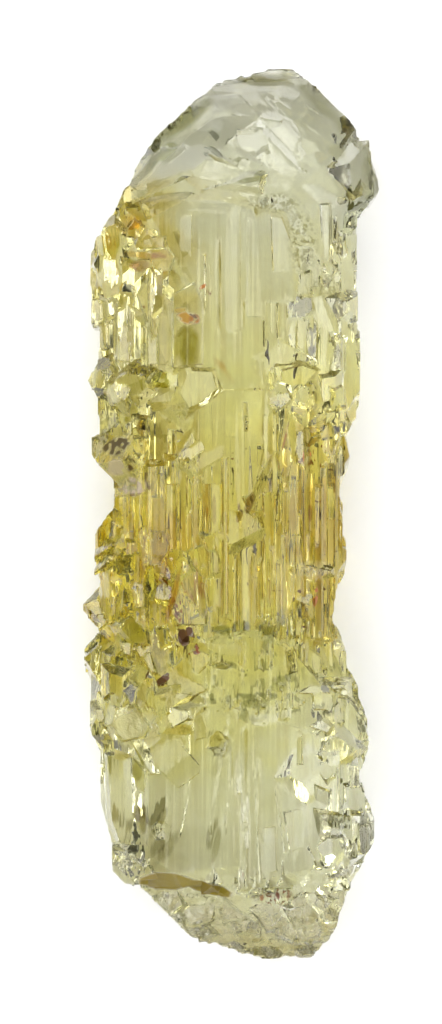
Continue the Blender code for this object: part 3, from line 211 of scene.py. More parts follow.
# ---- relief on the front face --------------------------------------------------------------
FRONT = [
    block(
        "window", 17.4, 29.8, 20.2, 42.0, 10, 21.4, (),
        [((.035, .012, .999), (24.0, 31.0, 20.0)), ((-.30, .02, .95), (19.6, 30, 19.85)), ((.46, .02, .88), (28.7, 30, 19.75)), ((-.22, .42, .88), (21.0, 21.5, 19.8)), ((.22, .46, .86), (25.5, 21.8, 19.85)),
         ((.74, .38, .55), (28.4, 25.6, 19.6)), ((.55, -.80, .25), (28.6, 36.5, 20)), ((-.62, -.75, .2), (21.6, 38.5, 20))]),
    block(
        "front_vee", 18.8, 28.4, 36.0, 53.4, 10, 21.0, (),
        [((-.03, -.035, .999), (23.6, 44.0, 19.75)), ((-.42, -.05, .9), (20.6, 42, 19.5)), ((.5, -.02, .87), (27.2, 42, 19.45)), ((-.80, -.58, .2), (20.6, 46.0, 19.9)), ((.86, -.48, .2), (26.6, 46.4, 19.9))]),
    block(
        "vee_scale", 17.6, 22.4, 43.2, 48.6, 11, 21.0, (),
        [((-.14, .16, .98), (20.0, 45.6, 19.9)), ((-.7, .45, .55), (18.4, 44.6, 19.4)), ((-.45, -.78, .44), (19.4, 47.6, 19.4)), ((.4, -.72, .56), (21.6, 46.8, 19.4)), ((.3, .8, .52), (21.0, 43.6, 19.5))]),
    block(
        "tongue", 20.4, 26.4, 51.0, 56.0, 12, 21.6, (),
        [((-.5, .5, .7), (21.4, 52.6, 20.8)), ((.62, .55, .56), (25.6, 51.8, 20.4)), ((-.35, -.62, .7), (22.2, 54.4, 20.8)), ((.5, -.72, .48), (24.6, 53.9, 20.6)), ((-.85, -.2, .5), (20.9, 54.0, 20)), ((.12, .22, .97), (23.4, 53.2, 21.1))]),
    block(
        "etched_hollow_rim", 27.0, 32.8, 20.6, 26.4, 9, 20.6, (),
        [((.22, .30, .93), (29.8, 23.0, 19.3)), ((-.62, -.40, .67), (27.7, 24.4, 19.3)), ((-.3, .74, .6), (28.8, 21.2, 18.8)), ((.1, -.8, .6), (30, 25.8, 19.0)), ((.75, .1, .65), (32.2, 23, 18.2))]),
    block(
        "right_rough", 26.8, 35.3, 25.0, 31.4, 9, 20.6, (),
        [((.14, .1, .985), (30.2, 28.0, 19.5)), ((.55, .05, .83), (32.8, 28, 18.6)), ((.8, .1, .6), (34.6, 28, 16.4)), ((-.6, .42, .68), (27.4, 26.4, 19.3)), ((-.5, -.6, .62), (28.0, 30.2, 19.3)), ((.2, -.8, .56), (31.6, 30.8, 18.8))]),
    block(
        "grey_facets", 28.4, 34.6, 29.6, 34.4, 9, 21.0, (),
        [((-.05, -.26, .96), (30.6, 31.6, 20.1)), ((.36, -.12, .92), (32.8, 31.6, 19.5)), ((.75, .1, .66), (34.0, 32, 18.0)), ((-.62, .3, .72), (28.9, 31.0, 19.7)), ((-.45, -.6, .66), (29.6, 33.6, 19.4)), ((.2, -.86, .47), (32.0, 34.0, 18.6)), ((.1, .8, .6), (31, 29.8, 19.9))]),
    block("right_column_2", 30.4, 32.4, 33.0, 41.0, 8, 19.6, [(-.5, 0, .87, .3), (.6, 0, .8, .8), (0, -.75, .66, .8)]),
    block("right_column_3", 32.6, 34.2, 32.0, 39.0, 8, 18.4, [(-.5, 0, .87, .25), (.6, 0, .8, .6), (0, -.75, .66, .8)]),
    block(
        "right_plates", 27.2, 33.4, 36.4, 42.8, 9, 21.2, (),
        [((-.16, .12, .98), (30.0, 39.2, 20.1)), ((.30, .22, .93), (31.4, 38.6, 20.0)), ((-.62, .42, .66), (28.0, 38.0, 19.6)), ((-.45, -.72, .53), (28.8, 41.8, 19.4)), ((.5, -.66, .56), (31.8, 41.4, 19.3)), ((.6, .5, .62), (32.4, 37.6, 19.2))]),
    block(
        "feather_scale", 25.6, 29.4, 33.8, 38.6, 9, 21.2, (),
        [((-.2, .2, .96), (27.4, 36.0, 20.15)), ((-.7, .2, .68), (26.0, 36, 19.9)), ((.62, -.45, .64), (28.8, 37.6, 19.8)), ((-.3, -.75, .59), (27.0, 38.0, 19.8)), ((.4, .72, .57), (28.0, 34.2, 19.9))]),
    block("spear", 27.3, 29.5, 41.0, 51.5, 10, 20.4, [(-.6, 0, .8, .6), (.6, 0, .8, .6)], [((-.98, -.17, .2), (27.9, 47, 20)), ((.95, -.28, .2), (28.7, 47.5, 20)), ((.05, -.1, .99), (28.4, 44, 20.2))]),
    block("right_column", 29.6, 32.8, 43.8, 60.4, 8, 18.9, [(-.5, 0, .87, .4), (.6, 0, .8, 1.2), (0, .7, .7, .7), (0, -.75, .66, 1.1)]),
    block(
        "cavern_rim", 12.2, 20.0, 54.4, 61.4, 8, 21.0, (),
        [((-.22, .30, .93), (15.8, 57.4, 19.7)), ((-.62, .2, .75), (13.2, 58, 18.8)), ((.45, .52, .72), (18.6, 56.0, 19.4)), ((-.3, -.72, .62), (14.8, 60.6, 18.9)), ((.62, -.42, .66), (19.0, 59.6, 19.0)), ((-.2, .82, .53), (15.2, 55.0, 19.2))]),
    block(
        "cavern_ridge", 15.6, 21.4, 57.2, 64.6, 9, 21.2, (),
        [((-.58, -.28, .76), (17.4, 61.0, 19.7)), ((.52, -.1, .85), (19.4, 60.4, 19.9)), ((.2, .78, .59), (18.4, 57.8, 19.6)), ((.1, -.8, .59), (18.6, 63.8, 19.3))]),
    block(
        "cavern_lump_1", 11.6, 18.4, 61.6, 68.8, 8, 21.4, (),
        [((-.26, .16, .95), (14.2, 64.6, 20.0)), ((.32, .10, .94), (16.4, 65, 20.0)), ((-.66, .3, .69), (12.2, 64.4, 19.0)), ((-.4, .72, .57), (13.6, 62.2, 19.4)), ((.46, .6, .65), (16.8, 62.6, 19.6)), ((-.4, -.7, .59), (13.4, 68.2, 18.8)), ((.5, -.62, .6), (17.2, 67.4, 19.2))]),
    block(
        "cavern_lump_2", 14.4, 21.4, 65.4, 73.0, 9, 21.6, (),
        [((.10, .22, .97), (18.0, 69.2, 20.45)), ((-.30, -.12, .95), (16.0, 70, 20.2)), ((-.62, .48, .62), (15.2, 67.2, 19.8)), ((.5, .62, .6), (19.6, 66.6, 19.9)), ((-.4, -.68, .61), (16.0, 72.2, 19.8)), ((.6, -.5, .62), (20.4, 71.2, 19.8))]),
    block(
        "rough_plate", 11.6, 16.0, 69.8, 76.2, 9, 21.2, (),
        [((-.22, .1, .97), (13.8, 73, 20.3)), ((.16, -.22, .96), (14.6, 74, 20.25)), ((-.6, .4, .69), (12.3, 70.8, 19.8)), ((.62, .46, .63), (15.2, 70.8, 20.0)), ((-.4, -.76, .51), (13.0, 75.4, 19.6)), ((.7, -.42, .58), (15.5, 74.8, 19.8))]),
    block("rough_wedge", 14.0, 20.0, 72.2, 78.6, 9, 20.55, (), [((-.6, -.62, .5), (15.0, 75.6, 20.2)), ((.62, .58, .53), (17.4, 73.0, 20.2)), ((.5, -.7, .5), (19.4, 77.4, 20.2)), ((-.1, .12, .987), (17, 75, 20.35))]),
    block(
        "window_low", 20.0, 29.4, 62.8, 72.8, 9, 21.2, (),
        [((-.04, .02, .999), (23.4, 68, 20.35)), ((.07, .015, .997), (26.4, 68, 20.35)), ((-.46, .05, .89), (20.9, 68, 20.2)), ((.5, .02, .866), (28.6, 68, 20.15)), ((-.2, .74, .64), (22.0, 63.6, 20.1)), ((.25, .72, .65), (26.6, 63.8, 20.1)), ((-.1, -.62, .78), (23.0, 72.0, 20.2)), ((.2, -.6, .775), (27.4, 71.8, 20.2))]),
    block(
        "lower_left_face", 12.6, 24.6, 70.6, 88.0, 9, 21.2, (),
        [((-.055, .02, .998), (18.4, 79, 20.35)), ((-.55, .1, .83), (14.2, 78, 20.15)), ((-.35, .7, .62), (17.6, 72.4, 20.2)), ((-.5, -.72, .48), (14.4, 84.6, 20.1)), ((.05, -.74, .67), (19.4, 86.8, 20.1))]),
    block(
        "lower_right_face", 23.4, 33.6, 71.2, 88.0, 9, 21.2, (),
        [((.045, .015, .999), (27.6, 79, 20.4)), ((-.42, 0, .91), (24.2, 79, 20.5)), ((.55, .1, .83), (32.4, 79, 20.1)), ((.3, .74, .6), (28.6, 72.0, 20.2)), ((.2, -.74, .64), (28.0, 87.2, 20.1)), ((.62, -.6, .5), (32.0, 85.4, 19.9))]),
    block(
        "big_chip", 27.2, 33.8, 73.4, 80.6, 9, 21.6, (),
        [((.10, .30, .95), (30.6, 76.4, 20.75)), ((.38, -.05, .92), (32.0, 77, 20.5)), ((-.42, .35, .84), (28.6, 75.8, 20.5)), ((-.3, -.42, .86), (29.2, 78.6, 20.5)), ((.3, -.55, .78), (31.6, 79.2, 20.4)), ((0, .8, .6), (30.4, 74.0, 20.6))]),
    block(
        "heel_tooth", 31.8, 36.3, 78.4, 81.2, 9, 19.6, (),
        [((-.15, .5, .85), (33.8, 79.6, 18.9)), ((.62, .4, .68), (35.4, 79.4, 18.2)), ((-.62, .4, .68), (32.4, 79.6, 18.7)), ((.05, -.93, .36), (34.0, 80.9, 18.2))]),
    block(
        "heel_scale", 29.6, 34.6, 83.4, 88.2, 9, 20.4, (),
        [((.35, -.2, .915), (32.0, 86.0, 19.6)), ((-.3, .6, .74), (31.0, 84.2, 19.7)), ((.1, -.74, .66), (32, 87.6, 19.2)), ((-.5, -.4, .77), (30.2, 86.8, 19.6))]),
]


def etched_columns():
    """The waist is dissolved into upright columns. Each stands a little proud of it, and ends in a point at one of the etch bands."""
    r = random.Random(11)
    made = []

    def tips():
        return [(0, .72, .70, r.uniform(.3, .8)), (0, -.72, .70, r.uniform(.3, .8)), (0, .72, -.70, .4), (0, -.72, -.70, .4)]

    u = 13.4
    for i in range(20):
        width = r.uniform(.75, 1.5)
        top, foot = r.uniform(42.0, 52.5), r.choice((62.6, 66.0, 69.8)) + r.uniform(-.5, .5)
        crest = r.uniform(18.9, 19.9) - max(0, abs(u + width / 2 - 22.6) - 7.6) * .75
        made.append(block(f"column_front_{i}", u, u + width, top, foot, 9, crest, [(-.866, 0, .5, .28), (.866, 0, .5, .28), (r.uniform(-.3, .3), 0, 1, .1), *tips()]))
        u += width * .74 + r.uniform(.03, .28)
    for i in range(10):
        width = r.uniform(1.2, 2.0)
        u = 13.9 + 1.3 * i if i < 5 else 25.6 + 1.3 * (i - 5)
        made.append(block(f"column_back_{i}", u, u + width, r.uniform(42, 50), r.uniform(60, 65), r.uniform(.12, .4), 9, [(-.866, 0, -.5, .3), (.866, 0, -.5, .3), *tips()]))
    for side in (-1, 1):
        for i in range(7):
            width = r.uniform(1.2, 2.0)
            z = 4.2 + 9.6 * i / (7 - 1)
            out = r.uniform(.05, .45) if side < 0 else r.uniform(0, .3)
            edge = 11.75 - out if side < 0 else 34.05 + out
            u0, u1 = (edge, edge + 5) if side < 0 else (edge - 5, edge)
            top, foot = r.uniform(48.6, 53.0), r.uniform(58.5, 63.0) if side < 0 else r.uniform(55.5, 58.0)
            made.append(block(f"column_side_{'l' if side < 0 else 'r'}{i}", u0, u1, top, foot, z, z + width, [(side * .5, 0, .866, .3), (side * .5, 0, -.866, .3), (side * .7, .7, 0, r.uniform(.2, .5)), (side * .7, -.7, 0, r.uniform(.2, .5))]))
    return made


def striations():
    """Each rib is a thin roof-shaped rod along the c axis, sunk into the face that it stands on."""
    return [
        block(f"rib_{i}", u - width / 2, u + width / 2, v0, v1, crest - 3, crest, [(-.7, 0, .714, width * .30), (.7, 0, .714, width * .24), (0, .6, .8, .35), (0, -.6, .8, .35)])
        for i, (u, width, v0, v1, crest) in enumerate(RIBS)
    ]


# ---- growth striations that stand out on the prism faces: u of the middle, width, v from and to, height of the crest --
RIBS = [
    (24.2, .50, 21.9, 33.5, 20.16), (24.9, .36, 22.3, 31.0, 20.14), (26.4, .62, 22.6, 35.5, 20.10), (27.7, .50, 23.4, 34.5, 20.02), (21.9, .44, 24.0, 33.8, 20.24), (20.4, .36, 25.5, 32.0, 20.30),
    (13.4, .46, 30.9, 36.6, 20.62), (14.5, .34, 30.4, 36.2, 20.66), (15.6, .50, 31.0, 36.8, 20.44), (16.6, .36, 31.8, 37.0, 20.30),
    (24.25, .90, 72.0, 88.2, 20.78), (23.1, .36, 73.6, 85.0, 20.66), (25.7, .44, 75.0, 86.0, 20.60), (21.2, .50, 79.5, 86.6, 20.60), (18.9, .36, 72.6, 79.0, 20.48), (30.6, .44, 81.6, 86.4, 20.40), (28.9, .36, 82.0, 87.0, 20.46),
    (30.9, .50, 31.2, 33.6, 20.18), (31.7, .50, 53.0, 61.6, 18.95), (33.9, .60, 23.4, 30.0, 17.85), (34.6, .50, 75.4, 80.6, 17.2),
]

# ---- hollows that dissolution left: place on the sheet, z of the mouth, radius, depth, which way the tip points -------
PITS = [
    ("pit_head_1", (24.8, 18.1, 18.9), 1.5, 1.3, (.1, -.25, -1)),
    ("pit_head_2", (21.4, 15.6, 17.0), .95, .9, (.1, -.4, -1)),
    ("pit_cavern_1", (13.6, 62.4, 19.4), 1.9, 2.6, (.25, .1, -1)),
    ("pit_cavern_2", (12.9, 66.4, 19.2), 1.7, 2.2, (.2, .2, -1)),
    ("pit_cavern_3", (15.3, 57.4, 20.4), 1.3, 2.4, (.1, -.1, -1)),
    ("pit_shoulder", (12.9, 24.8, 20.2), 1.5, 1.8, (.3, -.2, -1)),
    ("pit_knob", (16.6, 38.6, 21.2), 1.4, 1.6, (-.2, .1, -1)),
    ("pit_low_left", (16.2, 82.4, 20.7), 1.2, 1.5, (.1, .2, -1)),
    ("pit_low_mid", (22.0, 74.2, 20.6), 1.3, 1.1, (0, -.2, -1)),
    ("pit_right", (32.4, 66.6, 17.6), 1.2, 1.8, (-.4, 0, -1)),
    ("pit_heel", (34.4, 83.2, 17.4), 1.1, 1.5, (-.4, .1, -1)),
    ("pit_lip", (33.6, 18.6, 17.0), 1.1, 1.4, (-.3, 0, -1)),
]

def pit(name, at, radius, depth, way):
    """A six-sided etch pit that points into the crystal: a hexagonal cone, as in the CAD model."""
    u, v, z = at
    way = np.array(way, float)
    way /= np.linalg.norm(way)
    side = np.cross(way, (0, 1, 0))
    side /= np.linalg.norm(side)
    up = np.cross(side, way)
    centre = np.array([X(u), Y(v), z]) + way * depth * .15
    length = depth * 1.7
    wide, tip = radius * 1.7 * .866, radius * .18 * .866
    lean = (wide - tip) / length
    planes = [(way, length / 2), (-way, length / 2)]
    for i in range(6):
        a = math.radians(60 * i + 30)
        out = math.cos(a) * side + math.sin(a) * up
        n = out + way * lean
        size = np.linalg.norm(n)
        planes.append((n / size, ((wide + tip) / 2) / size))
    n = np.array([p[0] for p in planes])
    d = np.array([p[0] @ centre + p[1] for p in planes])
    reach = max(radius * 1.8, length / 2 + .1)
    return dict(name=name, low=centre - reach, high=centre + reach, n=n, d=d, soft=0.0)



# ---------------------------------------------------------------------------------------------------------------
# The solid as distances on a grid
# ---------------------------------------------------------------------------------------------------------------

STEP = np.array([.165, .33, .165])
LOW = np.array([-14.75, -44.45, 0.0])
HIGH = np.array([14.75, 44.45, 22.65])
AXES = [np.arange(LOW[a] - 2.5 * STEP[a], HIGH[a] + 3.5 * STEP[a], STEP[a]).astype(np.float32) for a in range(3)]
SHAPE = tuple(len(a) for a in AXES)
PIT = 20000  # ids from here on are hollows


class Solid:
    """Signed distance at each node, its slope there, and which block it belongs to."""

    def __init__(self):
        self.f = np.full(SHAPE, 9, np.float32)
        self.g = np.zeros(SHAPE + (3,), np.float32)
        self.id = np.full(SHAPE, -1, np.int16)
        self.count = 0

    def window(self, low, high, pad=.7):
        cut = []
        for a in range(3):
            i, j = np.searchsorted(AXES[a], [low[a] - pad, high[a] + pad])
            if j <= i:
                return None
            cut.append(slice(i, j))
        return tuple(cut)

    def shape_in(self, cut, n, d, soft=0.0):
        x, y, z = AXES[0][cut[0]][:, None, None], AXES[1][cut[1]][None, :, None], AXES[2][cut[2]][None, None, :]
        size = (x.shape[0], y.shape[1], z.shape[2])
        best = np.full(size, -99, np.float32)
        which = np.zeros(size, np.int16)
        for i in range(len(d)):
            g = (np.float32(n[i][0]) * x + np.float32(n[i][1]) * y) + (np.float32(n[i][2]) * z - np.float32(d[i]))
            more = g > best
            best[more] = g[more]
            which[more] = i
        normals = np.asarray(n, np.float32)
        if not soft:
            return best, normals[which]
        total = np.zeros(size, np.float32)
        slope = np.zeros(size + (3,), np.float32)
        for i in range(len(d)):
            g = (np.float32(n[i][0]) * x + np.float32(n[i][1]) * y) + (np.float32(n[i][2]) * z - np.float32(d[i]))
            w = np.exp((g - best) / soft)
            total += w
            slope += w[..., None] * normals[i]
        return best + soft * np.log(total), slope / total[..., None]

    def add(self, b):
        cut = self.window(b["low"], b["high"])
        if cut is None:
            return
        f, g = self.shape_in(cut, b["n"], b["d"], b["soft"])
        better = f < self.f[cut]
        self.f[cut][better] = f[better]
        self.g[cut][better] = g[better]
        self.id[cut][better] = self.count
        self.count += 1

    def cut(self, b):
        cut = self.window(b["low"], b["high"])
        if cut is None:
            return
        f, g = self.shape_in(cut, b["n"], b["d"])
        deeper = -f > self.f[cut]
        self.f[cut][deeper] = -f[deeper]
        self.g[cut][deeper] = -g[deeper]
        self.id[cut][deeper] = PIT + self.count % 8000
        self.count += 1

    def surface(self, axis, sign):
        """Where the solid's outermost point lies along an axis, as a map over the other two axes. nan where there is none."""
        inside = np.moveaxis(self.f < 0, axis, -1)
        if sign > 0:
            inside = inside[..., ::-1]
        at = np.argmax(inside, -1)
        there = inside.any(-1)
        where = AXES[axis][::-1] if sign > 0 else AXES[axis]
        return np.where(there, where[at], np.nan)


def lattice_noise(seed, spacing, power=1.0):
    """Smooth noise from -1 to 1 with these distances between its random values along X, Y and Z."""
    r = np.random.default_rng(seed)
    size = [int((AXES[a][-1] - AXES[a][0]) / spacing[a]) + 3 for a in range(3)]
    out = r.uniform(-1, 1, size).astype(np.float32)
    for a in (1, 0, 2):
        at = (AXES[a] - AXES[a][0]) / spacing[a]
        i = np.floor(at).astype(int)
        t = (at - i).astype(np.float32)
        t = t * t * (3 - 2 * t)
        form = [1, 1, 1]
        form[a] = -1
        t = t.reshape(form)
        out = np.take(out, i, a) * (1 - t) + np.take(out, i + 1, a) * t
    return out


def ramp(x, start, end):
    t = np.clip((x - start) / (end - start), 0, 1)
    return t * t * (3 - 2 * t)


def blob(centre, radii):
    """1 at the centre of an ellipsoid on the sheet, 0 outside it."""
    u, v, z = centre
    d = (
        ((AXES[0] - X(u)) / radii[0])[:, None, None] ** 2
        + ((AXES[1] - Y(v)) / radii[1])[None, :, None] ** 2
        + ((AXES[2] - z) / radii[2])[None, None, :] ** 2
    )
    return ramp(1 - np.sqrt(d), 0, .5).astype(np.float32)


# ---------------------------------------------------------------------------------------------------------------
# Growth: small columns, plates and chips, in beryl's own directions
# ---------------------------------------------------------------------------------------------------------------

BANDS = (63.9, 66.8, 71.0)


def little(centre, half, planes, name="", soft=0.0):
    """A small convex block round a point on the sheet, whose facets are (direction, distance from the centre)."""
    u, v, z = centre
    c = np.array([X(u), Y(v), z])
    n = [np.array(p[0], float) / np.linalg.norm(p[0]) for p in planes]
    d = [way @ c + p[1] for way, p in zip(n, planes)]
    h = np.array(half, float)
    return dict(name=name, low=c - h, high=c + h, n=np.array(n), d=np.array(d), soft=soft)


def column(u, v0, v1, z0, z1, width, r, side="front"):
    """A column along the crystal's length with a pointed or slanting end. side says which way its crest looks."""
    vm, hv = (v0 + v1) / 2, (v1 - v0) / 2
    tilt = r.uniform(-.5, .5)
    if side in ("front", "back"):
        s = 1 if side == "front" else -1
        zm, hz = (z0 + z1) / 2, (z1 - z0) / 2
        planes = [((1, 0, 0), width / 2), ((-1, 0, 0), width / 2), ((0, 0, 1), hz), ((0, 0, -1), hz), ((0, 1, 0), hv), ((0, -1, 0), hv)]
        edge = hz * .5 + width / 2 * .866
        planes += [((-.866, 0, .5 * s), edge - width * r.uniform(.1, .3)), ((.866, 0, .5 * s), edge - width * r.uniform(.1, .3))]
        planes += [((tilt, 0, s), hz - width * .08)]
        planes += [((0, .8, .6 * s), hv * .8 + hz * .6 - r.uniform(.05, .7)), ((0, -.8, .6 * s), hv * .8 + hz * .6 - r.uniform(.05, .7))]
        half = (width / 2, hv, hz)
        return little((u, vm, zm), half, planes)
    s = -1 if side == "left" else 1
    # u is the crest's own place, z0 the middle height, z1 how deep the column goes into the crystal
    hx = z1 / 2
    um = u - s * hx
    planes = [((s, 0, 0), hx), ((-s, 0, 0), hx), ((0, 0, 1), width / 2), ((0, 0, -1), width / 2), ((0, 1, 0), hv), ((0, -1, 0), hv)]
    edge = hx * .5 + width / 2 * .866
    planes += [((.5 * s, 0, .866), edge - width * r.uniform(.1, .3)), ((.5 * s, 0, -.866), edge - width * r.uniform(.1, .3))]
    planes += [((.6 * s, .8, 0), hv * .8 + hx * .6 - r.uniform(.05, .6)), ((.6 * s, -.8, 0), hv * .8 + hx * .6 - r.uniform(.05, .6))]
    return little((um, vm, z0), (hx, hv, width / 2), planes)


FACET_WAYS = [
    (0, 0, 1), (.866, 0, .5), (-.866, 0, .5), (.5, 0, .866), (-.5, 0, .866), (0, 1, 0), (0, -1, 0),
    (0, .45, .89), (0, -.45, .89), (.77, .45, .45), (-.77, .45, .45), (.77, -.45, .45), (-.77, -.45, .45),
    (.0, .72, .69), (0, -.72, .69), (.6, .72, .35), (-.6, .72, .35), (.6, -.72, .35), (-.6, -.72, .35), (0, 0, -1), (.866, 0, -.5), (-.866, 0, -.5),
]


def chip(u, v, z, size, r, tilt=.12, long=1.3, flat=.55):
    """A small crystal face cluster: a convex chip whose facets lie near beryl's directions."""
    planes = []
    for way in FACET_WAYS:
        if r.random() < .45 and way[1] != 0:
            continue
        way = np.array(way, float) + r.normal(0, tilt, 3)
        way /= np.linalg.norm(way)
        reach = size * (abs(way[0]) * .9 + abs(way[1]) * long + abs(way[2]) * flat) * r.uniform(.58, .95)
        planes.append((way, reach))
    return little((u, v, z), (size * 1.2, size * (long + .3), size * 1.0), planes)


def faced(name, outline, z, lean, way, wall, deep, raised=True):
    """A plate, or the void of a hollow, with a straight-sided outline on the sheet and one leaning face at height z."""
    p = np.array([(X(u), Y(v)) for u, v in outline])
    centre = p.mean(0)
    n, d = [], []
    for i in range(len(p)):
        a, b = p[i], p[(i + 1) % len(p)]
        out = np.array([b[1] - a[1], a[0] - b[0]])
        if np.linalg.norm(out) < 1e-6:
            continue
        out /= np.linalg.norm(out)
        if out @ (centre - (a + b) / 2) > 0:
            out = -out
        face = np.array([out[0], out[1], wall if raised else -wall])
        face /= np.linalg.norm(face)
        n.append(face)
        d.append(face @ np.array([(a[0] + b[0]) / 2, (a[1] + b[1]) / 2, z]))
    t, a = math.radians(lean), math.radians(way)
    face = np.array([math.sin(t) * math.cos(a), math.sin(t) * math.sin(a), math.cos(t)])
    at = np.array([centre[0], centre[1], z])
    if raised:
        n += [face, np.array([0, 0, -1.0])]
        d += [face @ at, -(z - deep)]
    else:
        n += [-face, np.array([0, 0, 1.0])]
        d += [-(face @ at), z + deep]
    spread = np.ptp(p, axis=0).max() * .5 * math.tan(t) + .3
    low = np.array([p[:, 0].min() - wall * deep, p[:, 1].min() - wall * deep, z - (deep if raised else spread)])
    high = np.array([p[:, 0].max() + wall * deep, p[:, 1].max() + wall * deep, z + (spread if raised else deep)])
    return dict(name=name, low=low, high=high, n=np.array(n), d=np.array(d), soft=0.0)


def top_at(s, u, v, side=1):
    """The height of the solid's front (side 1) or back (side -1) surface over a place on the sheet."""
    i = int(np.clip(np.searchsorted(AXES[0], X(u)), 1, SHAPE[0] - 1))
    j = int(np.clip(np.searchsorted(AXES[1], Y(v)), 1, SHAPE[1] - 1))
    f = s.f[i, j]
    inside = np.nonzero(f < 0)[0]
    if not len(inside):
        return None
    k = inside[-1] if side > 0 else inside[0]
    other = min(max(k + side, 0), len(f) - 1)
    t = -f[k] / max(f[other] - f[k], 1e-6)
    return float(AXES[2][k] + side * STEP[2] * np.clip(t, 0, 1))


def plate(s, outline, rise, lean=0.0, way=0.0, wall=.35, deep=2.6):
    """Adds a raised facet. rise is how far its middle stands above the surface that is there."""
    u, v = np.mean([q[0] for q in outline]), np.mean([q[1] for q in outline])
    z = top_at(s, u, v)
    if z is not None:
        s.add(faced("", outline, min(z + rise, HIGH[2] - .05), lean, way, wall, deep))


def hollow(s, outline, depth, lean=0.0, way=0.0, wall=.35):
    """Cuts a sunken facet. depth is how far its middle lies below the surface that is there."""
    u, v = np.mean([q[0] for q in outline]), np.mean([q[1] for q in outline])
    z = top_at(s, u, v)
    if z is not None:
        s.cut(faced("", outline, z - depth, lean, way, wall, 3.0 + depth, raised=False))


def height_at(surface, u, v):
    i = int(np.clip(np.searchsorted(AXES[0], X(u)), 1, SHAPE[0] - 1))
    j = int(np.clip(np.searchsorted(AXES[1], Y(v)), 1, SHAPE[1] - 1))
    return surface[i, j]


def side_at(surface, v, z):
    j = int(np.clip(np.searchsorted(AXES[1], Y(v)), 1, SHAPE[1] - 1))
    k = int(np.clip(np.searchsorted(AXES[2], z), 1, SHAPE[2] - 1))
    return surface[j, k]


